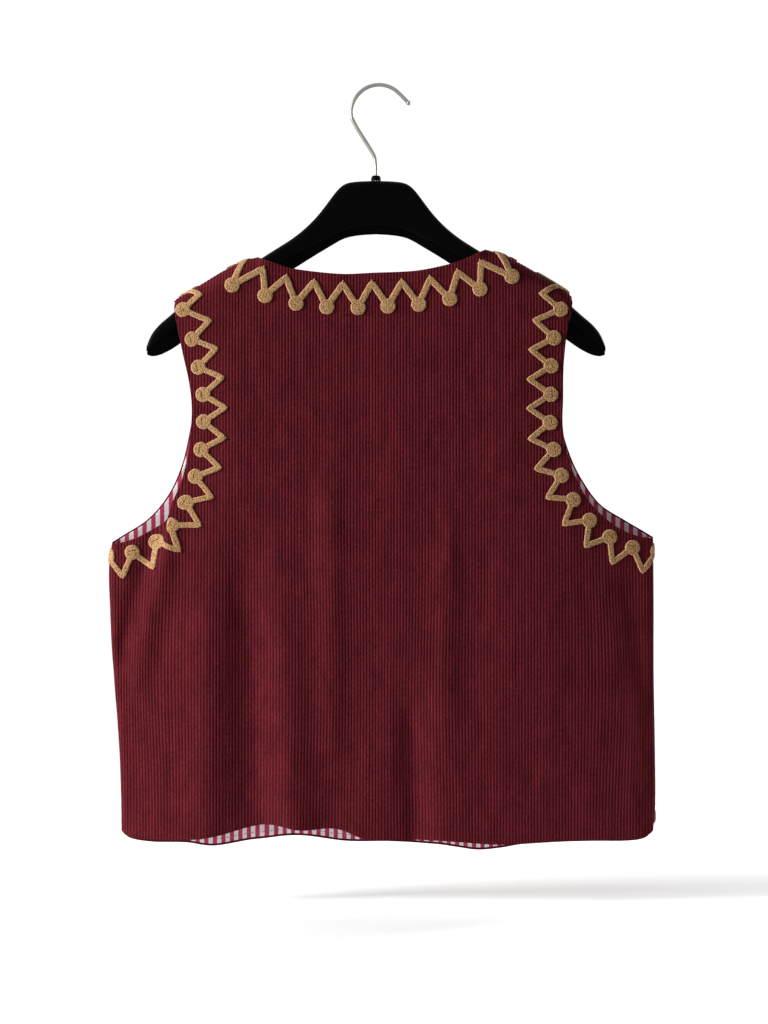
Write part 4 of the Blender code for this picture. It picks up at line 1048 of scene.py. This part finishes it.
def make_lining(name, side, curves, insets, cloth, material):
    """A panel's lining, close behind the corduroy, in place of its solid."""
    outline = inset_outline(curves, insets)
    low, high = outline.min(axis=0), outline.max(axis=0)
    mesh = cut_cloth(outline, LINING_EDGE)
    cut_across(mesh, 0, np.arange(low[0] + LINING_STEP / 2, high[0], LINING_STEP))
    cut_across(mesh, 1, rows_between(low[1], high[1]))
    mark_flat_cut(mesh)
    outer = -cloth.corduroy_thickness / MM - LINING_GAP
    inner = outer - cloth.lining_thickness / MM

    def wrong_side(x, z, rim):
        return np.where(rim > 0.5, outer - LINING_ROLL, outer)

    def right_side(x, z, rim):
        slack = LINING_SLACK * uneven(x, z, 26.0)
        return inner + np.where(rim > 0.5, LINING_ROLL, slack)

    give_thickness(mesh, wrong_side, right_side)
    piece = new_piece(f"{name}_cotton", mesh, side, material, "striped_lining",
                      f"{name}_lining")
    return piece, outline


class BorderPath:
    """An edge of a panel, laid flat and carried on past its seams, that a border follows."""

    def __init__(self, edge, inward, middle, before=None, after=None):
        line = unroll(smooth_curve(edge, PATH_STEP))
        parts = [line]
        lead = 0
        if before:
            start = line[self.lengths(line) < SEAM_PAST][1:]
            lead = len(start)
            parts.insert(0, before(start)[::-1])
        if after:
            back = line[::-1]
            parts.append(after(back[self.lengths(back) < SEAM_PAST][1:]))
        self.line = np.vstack(parts)
        self.normals = self.inward_normals(inward)
        totals = self.lengths(self.line + self.normals * middle)
        self.totals = totals - totals[lead]
        self.length = float(self.totals[lead + len(line) - 1])

    @staticmethod
    def lengths(line):
        steps = np.linalg.norm(np.diff(line, axis=0), axis=1)
        return np.concatenate([[0.0], np.cumsum(steps)])

    def inward_normals(self, inward):
        """Directions into the panel, evened out over a few points."""
        last = len(self.line) - 1
        near = np.arange(last + 1)
        ahead, behind = np.minimum(near + EVEN_OVER, last), np.maximum(near - EVEN_OVER, 0)
        runs = self.line[ahead] - self.line[behind]
        turned = np.stack([-runs[:, 1], runs[:, 0]], axis=1) * inward
        return turned / np.linalg.norm(turned, axis=1, keepdims=True)

    def place(self, along, offset):
        """The place at a distance along the border's middle and in from the edge."""
        i = min(max(bisect_right(self.totals, along) - 1, 0), len(self.totals) - 2)
        t = (along - self.totals[i]) / (self.totals[i + 1] - self.totals[i])
        edge = self.line[i] + (self.line[i + 1] - self.line[i]) * t
        normal = self.normals[i] + (self.normals[i + 1] - self.normals[i]) * t
        return edge + unit(normal) * offset

    def near_ends(self, along):
        """Distances past the two ends of the edge, and how near each end is, 0 to 1."""
        past = (-along, along - self.length)
        return past, [max(0.0, 1 - abs(distance) / FLARE_REACH) ** 2 for distance in past]

    def turns(self, size, phase, pitch, reach, flares=(0.0, 0.0), end_dots=(0.0, 0.0)):
        """Dots and peaks in turn, one each half pitch: kind, place and way to the edge.

        The flares set what is near each end of the edge further in, and end_dots moves
        the dot next to each end along, away from that end, and in.
        """
        start, end = reach
        first = int((start - phase) / pitch) - 1
        last = int((end - phase) / pitch) + 1
        found = []
        for k in range(2 * first, 2 * last + 1):
            along = phase + k * pitch / 2
            if start <= along <= end:
                kind = DOT if k % 2 == 0 else PEAK
                offset = size.dots if kind == DOT else size.peaks
                (before, after), near = self.near_ends(along)
                offset += flares[0] * near[0] + flares[1] * near[1]
                if kind == DOT and -pitch < max(before, after) < 0:
                    along += end_dots[0] * (1 if before > after else -1)
                    offset += end_dots[1]
                place = self.place(along, offset)
                found.append(Turn(kind, place, unit(self.place(along, offset - 1.0) - place)))
        return found


def unit(way):
    return way / np.linalg.norm(way)


def leftward(way):
    return np.array([-way[1], way[0]])


def strip_rings(start, end, side, section):
    """Sections of a straight stitched strip from one place to another, but the last."""
    return [[(*(start + (end - start) * t + side * p.across), p.height) for p in section]
            for t in np.arange(STRIP_STEPS) / STRIP_STEPS]


def add_strip(mesh, before, peak, after, size):
    """A stitched strip from a dot to a peak and on to the next dot.

    It turns round its inner corner, and the mitre outside it is blunted where it would
    reach out past a share of the strip's width.
    """
    strip = size.strip
    section = [StripPoint(p.across * strip / STRIP, p.height) for p in STRIP_SECTION]
    into, out = unit(peak - before), unit(after - peak)
    start = before + into * (DOT_RADIUS - STRIP_UNDER)
    end = after - out * (DOT_RADIUS - STRIP_UNDER)
    first, last = leftward(into), leftward(out)
    outward = unit(into - out)
    hand = 1.0 if np.dot(first, outward) > 0 else -1.0
    corner = peak - outward * strip / 2 / float(np.dot(first, outward) * hand)
    turning = corner - into * TURN_CLEAR + first * hand * strip / 2
    rings = strip_rings(start, turning, first, section)
    for turn in np.linspace(0.0, 1.0, FAN_STEPS):
        way = unit(first * (1 - turn) + last * turn) * hand
        mitre = 1 / max(abs(np.dot(way, first)), abs(np.dot(way, last)))
        stretch = min(mitre, size.reach)
        rings.append([(*(corner + way * stretch * (strip / 2 + p.across * hand)), p.height)
                      for p in section])
    turned = corner + out * TURN_CLEAR + last * hand * strip / 2
    rings += strip_rings(turned, end, last, section)
    rings.append([(*(end + last * p.across), p.height) for p in section])
    loft(mesh, rings)
    return corner + outward * strip * size.reach


def dot_template(has_slit):
    """A stitched dot round the origin, turned from its profile, as mesh data.

    On a slit dot the last row of stitches leaves a short nick beside the middle.
    """
    mesh = bmesh.new()
    foot = DotPoint(0.0, DOT_PROFILE[0].height)
    line = [mesh.verts.new((p.radius, 0.0, p.height)) for p in [foot, *DOT_PROFILE]]
    edges = [mesh.edges.new(pair) for pair in zip(line, line[1:])]
    bmesh.ops.spin(mesh, geom=[*line, *edges], cent=(0.0, 0.0, 0.0), axis=(0.0, 0.0, 1.0),
                   angle=2 * pi, steps=DOT_STEPS, use_merge=True)
    bmesh.ops.remove_doubles(mesh, verts=mesh.verts[:], dist=0.01)
    bmesh.ops.dissolve_degenerate(mesh, edges=mesh.edges[:], dist=0.01)
    bmesh.ops.recalc_face_normals(mesh, faces=mesh.faces[:])
    outer = mesh.verts.layers.float.new("outer_row")
    for vertex in mesh.verts:
        vertex[outer] = float(vertex.co.xy.length > DOT_RADIUS - OUTER_ROW)
    if has_slit:
        cut_across(mesh, 0, [SLIT_OUT - SLIT_HALF_WIDTH, SLIT_OUT, SLIT_OUT + SLIT_HALF_WIDTH])
        for vertex in mesh.verts:
            along = vertex.co.y / SLIT_HALF_LENGTH
            if abs(vertex.co.x - SLIT_OUT) < 0.01 and vertex.co.z > 0 and abs(along) < 1:
                vertex.co.z -= SLIT_DEPTH * cos(pi / 2 * along)
    return to_mesh_data(mesh, "dot")


def knot_template():
    """The small knot that ends a row of stitches, as mesh data."""
    mesh = bmesh.new()
    bmesh.ops.create_uvsphere(mesh, u_segments=10, v_segments=6, radius=KNOT_RADIUS)
    bmesh.ops.scale(mesh, verts=mesh.verts[:], vec=(1.15, 1.0, 0.7))
    bmesh.ops.translate(mesh, verts=mesh.verts[:], vec=(0.0, 0.0, 0.45))
    return to_mesh_data(mesh, "knot")


def stitch_template():
    """One stitch of sewing thread along X, as mesh data."""
    mesh = bmesh.new()
    bmesh.ops.create_uvsphere(mesh, u_segments=8, v_segments=6, radius=1.0)
    bmesh.ops.rotate(mesh, verts=mesh.verts[:], matrix=Matrix.Rotation(pi / 2, 3, "Y"))
    bmesh.ops.scale(mesh, verts=mesh.verts[:], vec=(STITCH_LENGTH / 2, 0.35, 0.3))
    return to_mesh_data(mesh, "stitch")


def add_copy(mesh, template, place, way, height=0.0):
    """A copy of a template at a flat place, turned to face a way."""
    known = len(mesh.verts)
    mesh.from_mesh(template)
    mesh.verts.ensure_lookup_table()
    turn = Matrix.Rotation(atan2(way[1], way[0]), 4, "Z")
    move = Matrix.Translation((float(place[0]), float(place[1]), height))
    bmesh.ops.transform(mesh, matrix=move @ turn, verts=mesh.verts[known:])


def cut_at_seam(mesh, axis, seam, outward):
    """Drop what lies past a seam of the flat panel, and close the cut."""
    other = 1 - axis

    def shift(places, sign):
        moved = np.zeros_like(places)
        moved[:, axis] = sign * seam(places[:, other])
        return moved

    move_each(mesh, lambda places: shift(places, -1))
    plane = Vector((0.0, 0.0, 0.0))
    plane[axis] = outward
    every = [*mesh.verts, *mesh.edges, *mesh.faces]
    cut = bmesh.ops.bisect_plane(mesh, geom=every, dist=0.001, plane_co=plane * -SEAM_CLEAR,
                                 plane_no=plane, clear_outer=True)
    edges = [item for item in cut["geom_cut"] if isinstance(item, bmesh.types.BMEdge)]
    bmesh.ops.holes_fill(mesh, edges=edges, sides=0)
    move_each(mesh, lambda places: shift(places, 1))


SEAM_CUTS = {
    "shoulder": (1, shoulder_seam, 1),
    "left": (0, left_seam, -1),
    "right": (0, right_seam, 1),
    "centre_left": (0, lambda z: np.full_like(z, CENTRE_LEFT[0].x - CENTRE_CLEAR), 1),
    "centre_right": (0, lambda z: np.full_like(z, CENTRE_RIGHT[0].x + CENTRE_CLEAR), -1),
}


def hand_stitched(places):
    """How far each vertex of a border strays from true."""
    x, z, height = places.T
    aside = HAND_STRAY * uneven(x, z, 2.4)
    up = HAND_STRAY * uneven(z + 40.0, x, 2.2)
    rise = np.where(height > 0.3, HAND_RISE * uneven(x, z, 2.3), 0.0)
    return np.stack([aside, up, rise], axis=1)


def mark_outer_rows(mesh):
    """Mark the outer rows of stitches along the strips; a section's order tells which."""
    order = mesh.verts.layers.int["order"]
    outer = mesh.verts.layers.float.new("outer_row")
    for vertex in mesh.verts:
        across = abs(STRIP_SECTION[vertex[order]].across)
        vertex[outer] = float(across > STRIP / 2 - OUTER_ROW)


def make_border(name, side, turns, seams, size, material):
    """A stitched border on a panel, in place of its solid."""
    dot, knot = dot_template(size.nicked), knot_template()
    mesh = bmesh.new()
    tips = []
    for before, peak, after in zip(turns, turns[1:], turns[2:]):
        if peak.kind == PEAK:
            tip = add_strip(mesh, before.place, peak.place, after.place, size)
            tips.append((tip, tip - peak.place))
    bmesh.ops.recalc_face_normals(mesh, faces=mesh.faces[:])
    mark_outer_rows(mesh)
    for tip, way in tips:
        if not size.nicked:
            add_copy(mesh, knot, tip, way)
    for turn in turns:
        if turn.kind == DOT:
            add_copy(mesh, dot, turn.place, turn.to_edge)
    for seam in seams:
        cut_at_seam(mesh, *SEAM_CUTS[seam])
    move_each(mesh, hand_stitched)
    mark_flat_cut(mesh)
    return new_piece(f"{name}_stitching", mesh, side, material, "border", name)


def armhole_borders(hand, back_edge, front_edge, inward, round_side, material):
    """The border round one armhole: on the back, and on the front to match it."""
    size = ARMHOLE_BORDER
    middle = (size.dots + size.peaks) / 2
    back = BorderPath(back_edge[::-1], inward, middle, round_side, over_shoulder)
    front = BorderPath(front_edge[::-1], inward, middle, round_side, over_shoulder)
    run = front.length - size.pitch + back.length % size.pitch
    front_pitch = run / round(run / size.pitch)
    pieces = []
    for word, side, path, pitch in (("back", BACK, back, size.pitch),
                                    ("front", FRONT, front, front_pitch)):
        turns = path.turns(size, 0.0, pitch, (-BORDER_PAST, path.length + BORDER_PAST),
                           (0.0, ARMHOLE_FLARES[hand]))
        pieces.append(make_border(f"armhole_border_{word}_{hand}", side, turns,
                                  ("shoulder", hand), size, material))
    return pieces


def neck_borders(material):
    """The border round the neck: on the back, and carried on down both fronts."""
    size = NECK_BORDER
    middle = (size.dots + size.peaks) / 2
    back = BorderPath(NECK_BACK, -1, middle, over_shoulder, over_shoulder)
    phase = back.length / 2 + size.pitch / 2
    turns = back.turns(size, phase, size.pitch, (-BORDER_PAST, back.length + BORDER_PAST),
                       (NECK_FLARE, NECK_FLARE), NECK_END_DOTS)
    pieces = [make_border("neck_border_back", BACK, turns, ("shoulder",), size, material)]
    start = size.pitch - phase % size.pitch
    for hand, edge, inward in (("left", NECK_FRONT_LEFT, -1), ("right", NECK_FRONT_RIGHT, 1)):
        path = BorderPath(edge, inward, middle, over_shoulder)
        turns = path.turns(size, start, size.pitch,
                           (-BORDER_PAST, path.length - FLARE_REACH / 2), (NECK_FLARE, 0.0))
        pieces.append(make_border(f"neck_border_front_{hand}", FRONT, turns,
                                  ("shoulder", f"centre_{hand}"), size, material))
    return pieces


def hem_borders(material):
    """The border along the hem of both fronts."""
    size = HEM_BORDER
    middle = (size.dots + size.peaks) / 2
    pieces = []
    for hand, edge, inward, round_side, first_dot, start in (
            ("left", HEM_FRONT_LEFT, 1, round_left, HEM_FIRST_DOT, HEM_START),
            ("right", HEM_FRONT_RIGHT[::-1], -1, round_right, size.pitch / 4, -BORDER_PAST)):
        path = BorderPath(edge, inward, middle, round_side)
        turns = path.turns(size, first_dot, size.pitch, (start, path.length))
        pieces.append(make_border(f"hem_border_front_{hand}", FRONT, turns,
                                  (hand, f"centre_{hand}"), size, material))
    return pieces


def hem_stitches(hand, edge, inward, cloth, material):
    """The row of stitches that holds the lining's turned edge inside a front's hem."""
    template = stitch_template()
    path = BorderPath(edge, inward, STITCHES_IN)
    height = -(cloth.corduroy_thickness + cloth.lining_thickness) / MM - LINING_GAP
    mesh = bmesh.new()
    for along in np.arange(STITCH_PITCH, path.length - STITCH_PITCH, STITCH_PITCH):
        stray = float(uneven(along, 0.0, 5.0))
        place = path.place(along, STITCHES_IN + STITCH_STRAY * stray)
        way = path.place(along + 1.0, STITCHES_IN) - path.place(along - 1.0, STITCHES_IN)
        add_copy(mesh, template, place, way + STITCH_TURN * stray * leftward(way), height)
    mark_flat_cut(mesh)
    return new_piece(f"front_{hand}_hem_stitches", mesh, FRONT, material, "striped_lining")


def roof_z(section):
    """Height of the hollow under the hanger's arm."""
    return section.ledge + (section.top - HANGER_WALL - section.ledge) * ROOF_SHARE


def arm_outline(section, x):
    """The hanger's section: a wall folded over, open underneath, with its lips rounded."""
    half = section.half_depth
    inner = half - HANGER_WALL
    shoulder = min(half, (section.top - section.ledge) * CROWN_SHARE)
    crown = section.top - shoulder
    roof = roof_z(section)
    outline = [(-half * cos(a), crown + shoulder * sin(a)) for a in np.linspace(0.0, pi, 17)]
    outline += lip(half, inner, section.foot)
    outline += [(inner, roof - 1.0), (inner * 0.6, roof), (-inner * 0.6, roof),
                (-inner, roof - 1.0)]
    outline += lip(-inner, -half, section.ledge)
    return [(x * MM, y * MM, z * MM) for y, z in outline]


def lip(start, end, foot):
    """The rounded foot of a wall, from one of its faces to the other."""
    middle, reach = (start + end) / 2, (start - end) / 2
    return [(middle + reach * cos(a), foot + abs(reach) * (1 - sin(a)) * LIP_ROUND)
            for a in np.linspace(0.0, pi, 7)]


def make_hanger(material):
    """The moulded hanger, in place of its solid."""
    table = np.array(ARM_SECTIONS)
    last = ARM_SECTIONS[-1].out
    out = np.concatenate([np.arange(0.0, TIP_FROM, ARM_STEP),
                          np.arange(TIP_FROM, last, TIP_STEP), [last]])
    columns = [np.interp(out, table[:, 0], column) for column in table.T]
    sections = [Arm(*row) for row in soften(np.stack(columns, axis=1))]
    rings = [arm_outline(s, HANGER_X - s.out) for s in sections[:0:-1]]
    rings += [arm_outline(s, HANGER_X + s.out) for s in sections]
    mesh = bmesh.new()
    loft(mesh, rings)
    bmesh.ops.recalc_face_normals(mesh, faces=mesh.faces[:])
    return finish_piece("moulded_hanger", mesh, material, "hanger_plastic", "hanger")


def soften(rows):
    """Rows evened out with their neighbours, all but the ends, so that corners are round."""
    for _ in range(6):
        inner = (rows[:-2] + 2 * rows[1:-1] + rows[2:]) / 4
        rows = np.vstack([rows[:1], inner, rows[-1:]])
    return rows


def make_collar(material):
    """The domed collar that the hook turns in, spun about the stem."""
    foot = ARM_SECTIONS[0].top + COLLAR_GAP
    dome = [(COLLAR_BORE + (COLLAR_RADIUS - COLLAR_BORE) * cos(a),
             foot + COLLAR_FOOT + (COLLAR_HEIGHT - COLLAR_FOOT) * sin(a))
            for a in np.linspace(0.0, pi / 2, 9)]
    profile = [(COLLAR_BORE, foot), (COLLAR_RADIUS, foot), *dome]
    mesh = bmesh.new()
    line = [mesh.verts.new(((HANGER_X + radius) * MM, 0.0, z * MM)) for radius, z in profile]
    edges = [mesh.edges.new(pair) for pair in zip(line, [*line[1:], line[0]])]
    bmesh.ops.spin(mesh, geom=[*line, *edges], cent=(HANGER_X * MM, 0.0, 0.0),
                   axis=(0.0, 0.0, 1.0), angle=2 * pi, steps=40, use_merge=True)
    bmesh.ops.recalc_face_normals(mesh, faces=mesh.faces[:])
    return finish_piece("moulded_collar", mesh, material, "hanger_plastic", "hook_collar")


def make_hook(hanger, material):
    """The wire hook with the small ball at its end, in place of its solid."""
    angles = np.linspace(HOOK_START, HOOK_END, 25)
    arc = [Point(HOOK_CENTRE.x + HOOK_BEND * cos(a), HOOK_CENTRE.z + HOOK_BEND * sin(a))
           for a in angles]
    route = smooth_curve([*STEM, *arc, *HOOK_TAIL], WIRE_STEP)
    runs = np.gradient(route, axis=0)
    wire = hanger.wire_radius / MM
    stations = [(place, unit(run), wire) for place, run in zip(route, runs)]
    last = unit(route[-1] - route[-2])
    for a in np.linspace(0.15, pi - 0.15, 11):
        stations.append((route[-1] + last * BALL_RADIUS * (0.6 - cos(a)), last,
                         max(BALL_RADIUS * sin(a), 0.2)))
    rings = []
    for place, way, radius in stations:
        ring = []
        for turn in np.arange(HOOK_SIDES) * 2 * pi / HOOK_SIDES:
            x, z = place + leftward(way) * radius * cos(turn)
            ring.append((x * MM, radius * sin(turn) * MM, z * MM))
        rings.append(ring)
    mesh = bmesh.new()
    loft(mesh, rings)
    bmesh.ops.recalc_face_normals(mesh, faces=mesh.faces[:])
    return finish_piece("wire_hook", mesh, material, "hook_wire", "hook")


class VEST_OT_hanger(bpy.types.Operator):
    """Model the moulded hanger, its collar and the wire hook"""

    bl_idname = "vest.hanger"
    bl_label = "Hanger and Hook"

    def execute(self, context):
        settings = context.scene.vest_hanger
        plastic = plastic_material(settings)
        make_hanger(plastic)
        make_collar(plastic)
        make_hook(settings, steel_material(settings))
        return {"FINISHED"}


class VEST_OT_borders(bpy.types.Operator):
    """Stitch the borders round the neck, the armholes and the front hems"""

    bl_idname = "vest.borders"
    bl_label = "Stitched Borders"

    def execute(self, context):
        thread = thread_material(context.scene.vest_border)
        neck_borders(thread)
        armhole_borders("left", ARMHOLE_BACK_LEFT, ARMHOLE_FRONT_LEFT, -1, round_left, thread)
        armhole_borders("right", ARMHOLE_BACK_RIGHT, ARMHOLE_FRONT_RIGHT, 1, round_right,
                        thread)
        hem_borders(thread)
        return {"FINISHED"}


class VEST_OT_corduroy(bpy.types.Operator):
    """Cut the three corduroy panels, raise their wales and hang them"""

    bl_idname = "vest.corduroy"
    bl_label = "Corduroy Panels"

    def execute(self, context):
        cloth = context.scene.vest_cloth
        corduroy = corduroy_material(cloth)
        for name, (side, curves) in PANELS.items():
            piece, outline = make_panel(name, side, curves, cloth, corduroy)
        return {"FINISHED"}


class VEST_OT_lining(bpy.types.Operator):
    """Cut the striped lining of each panel, and stitch it down inside the front hems"""

    bl_idname = "vest.lining"
    bl_label = "Striped Lining"

    def execute(self, context):
        cloth = context.scene.vest_cloth
        cotton = lining_material(cloth)
        thread = sewing_thread_material()
        stitches = {
            "front_left": [hem_stitches("left", HEM_FRONT_LEFT, 1, cloth, thread)],
            "front_right": [hem_stitches("right", HEM_FRONT_RIGHT[::-1], -1, cloth, thread)],
        }
        for name, (side, curves) in PANELS.items():
            insets = BACK_LINING_INSETS if side == BACK else FRONT_LINING_INSETS
            piece, outline = make_lining(name, side, curves, insets, cloth, cotton)
        return {"FINISHED"}


class VEST_OT_stage(bpy.types.Operator):
    """Lay the floor, set the soft lights and place the camera"""

    bl_idname = "vest.stage"
    bl_label = "Floor, Lights and Camera"

    def execute(self, context):
        stage = context.scene.vest_stage
        mesh = bmesh.new()
        place = Matrix.Translation((0.0, 0.0, stage.floor_height))
        bmesh.ops.create_grid(mesh, x_segments=4, y_segments=4, size=FLOOR_REACH, matrix=place)
        floor = bpy.data.objects.new("floor", to_mesh_data(mesh, "floor"))
        floor.data.materials.append(floor_material(stage))
        context.collection.objects.link(floor)

        world = bpy.data.worlds.new("white_surroundings")
        world.use_nodes = True
        tree = world.node_tree
        # The surroundings are white paper, seen and in gloss, and light the vest less
        ray = add_node(tree, "ShaderNodeLightPath")
        seen = add_node(tree, "ShaderNodeMath", {
            0: ray.outputs["Is Camera Ray"], 1: ray.outputs["Is Glossy Ray"]},
            operation="MAXIMUM")
        strength = add_node(tree, "ShaderNodeMapRange", {
            "Value": seen.outputs[0], "To Min": stage.sky_strength, "To Max": PAPER_WHITE})
        give_inputs(tree, tree.nodes["Background"], {
            "Color": (1.0, 1.0, 1.0, 1.0), "Strength": strength.outputs[0]})
        context.scene.world = world

        aim = Vector((0.0, 0.0, CAMERA_PLACE[2] * MM))
        for name, place, size, power in (
                ("key", KEY_PLACE, KEY_SIZE, stage.key_power),
                ("fill", FILL_PLACE, KEY_SIZE, stage.fill_power),
                ("top", TOP_PLACE, TOP_SIZE, stage.top_power)):
            lamp = bpy.data.lights.new(name, "AREA")
            lamp.size = size
            lamp.energy = power
            light = bpy.data.objects.new(name, lamp)
            light.location = Vector(place)
            light.rotation_euler = (aim - light.location).to_track_quat("-Z", "Y").to_euler()
            context.collection.objects.link(light)

        lens = bpy.data.cameras.new("camera")
        lens.sensor_fit = "VERTICAL"
        lens.sensor_height = SENSOR
        lens.lens = SENSOR * VIEW_DISTANCE / VIEW_HEIGHT
        camera = bpy.data.objects.new("camera", lens)
        camera.location = Vector(CAMERA_PLACE) * MM
        camera.rotation_euler = (pi / 2, 0.0, 0.0)
        context.collection.objects.link(camera)
        context.scene.camera = camera
        context.scene.view_settings.view_transform = "Standard"
        return {"FINISHED"}


class VEST_PT_sidebar(bpy.types.Panel):
    """Lists the vest's settings and the operators that make it"""

    bl_label = "Corduroy Vest"
    bl_idname = "VEST_PT_sidebar"
    bl_space_type = "VIEW_3D"
    bl_region_type = "UI"
    bl_category = "Vest"

    def draw(self, context):
        for group in SETTINGS:
            box = self.layout.box()
            settings = getattr(context.scene, group)
            for name in settings.bl_rna.properties.keys():
                if name not in ("rna_type", "name"):
                    box.prop(settings, name)
        for operator in OPERATORS:
            self.layout.operator(operator.bl_idname)


SETTINGS = {
    "vest_cloth": VestClothSettings,
    "vest_border": VestBorderSettings,
    "vest_hanger": VestHangerSettings,
    "vest_stage": VestStageSettings,
}
OPERATORS = [VEST_OT_hanger, VEST_OT_borders, VEST_OT_corduroy, VEST_OT_lining,
             VEST_OT_stage]


def register():
    for group, settings in SETTINGS.items():
        bpy.utils.register_class(settings)
        setattr(bpy.types.Scene, group, bpy.props.PointerProperty(type=settings))
    for made in (*OPERATORS, VEST_PT_sidebar):
        bpy.utils.register_class(made)


def unregister():
    for made in (VEST_PT_sidebar, *OPERATORS[::-1]):
        bpy.utils.unregister_class(made)
    for group, settings in SETTINGS.items():
        delattr(bpy.types.Scene, group)
        bpy.utils.unregister_class(settings)


def main():
    register()
    bpy.ops.vest.hanger()
    bpy.ops.vest.borders()
    bpy.ops.vest.corduroy()
    bpy.ops.vest.lining()
    bpy.ops.vest.stage()


if __name__ == "__main__":
    main()
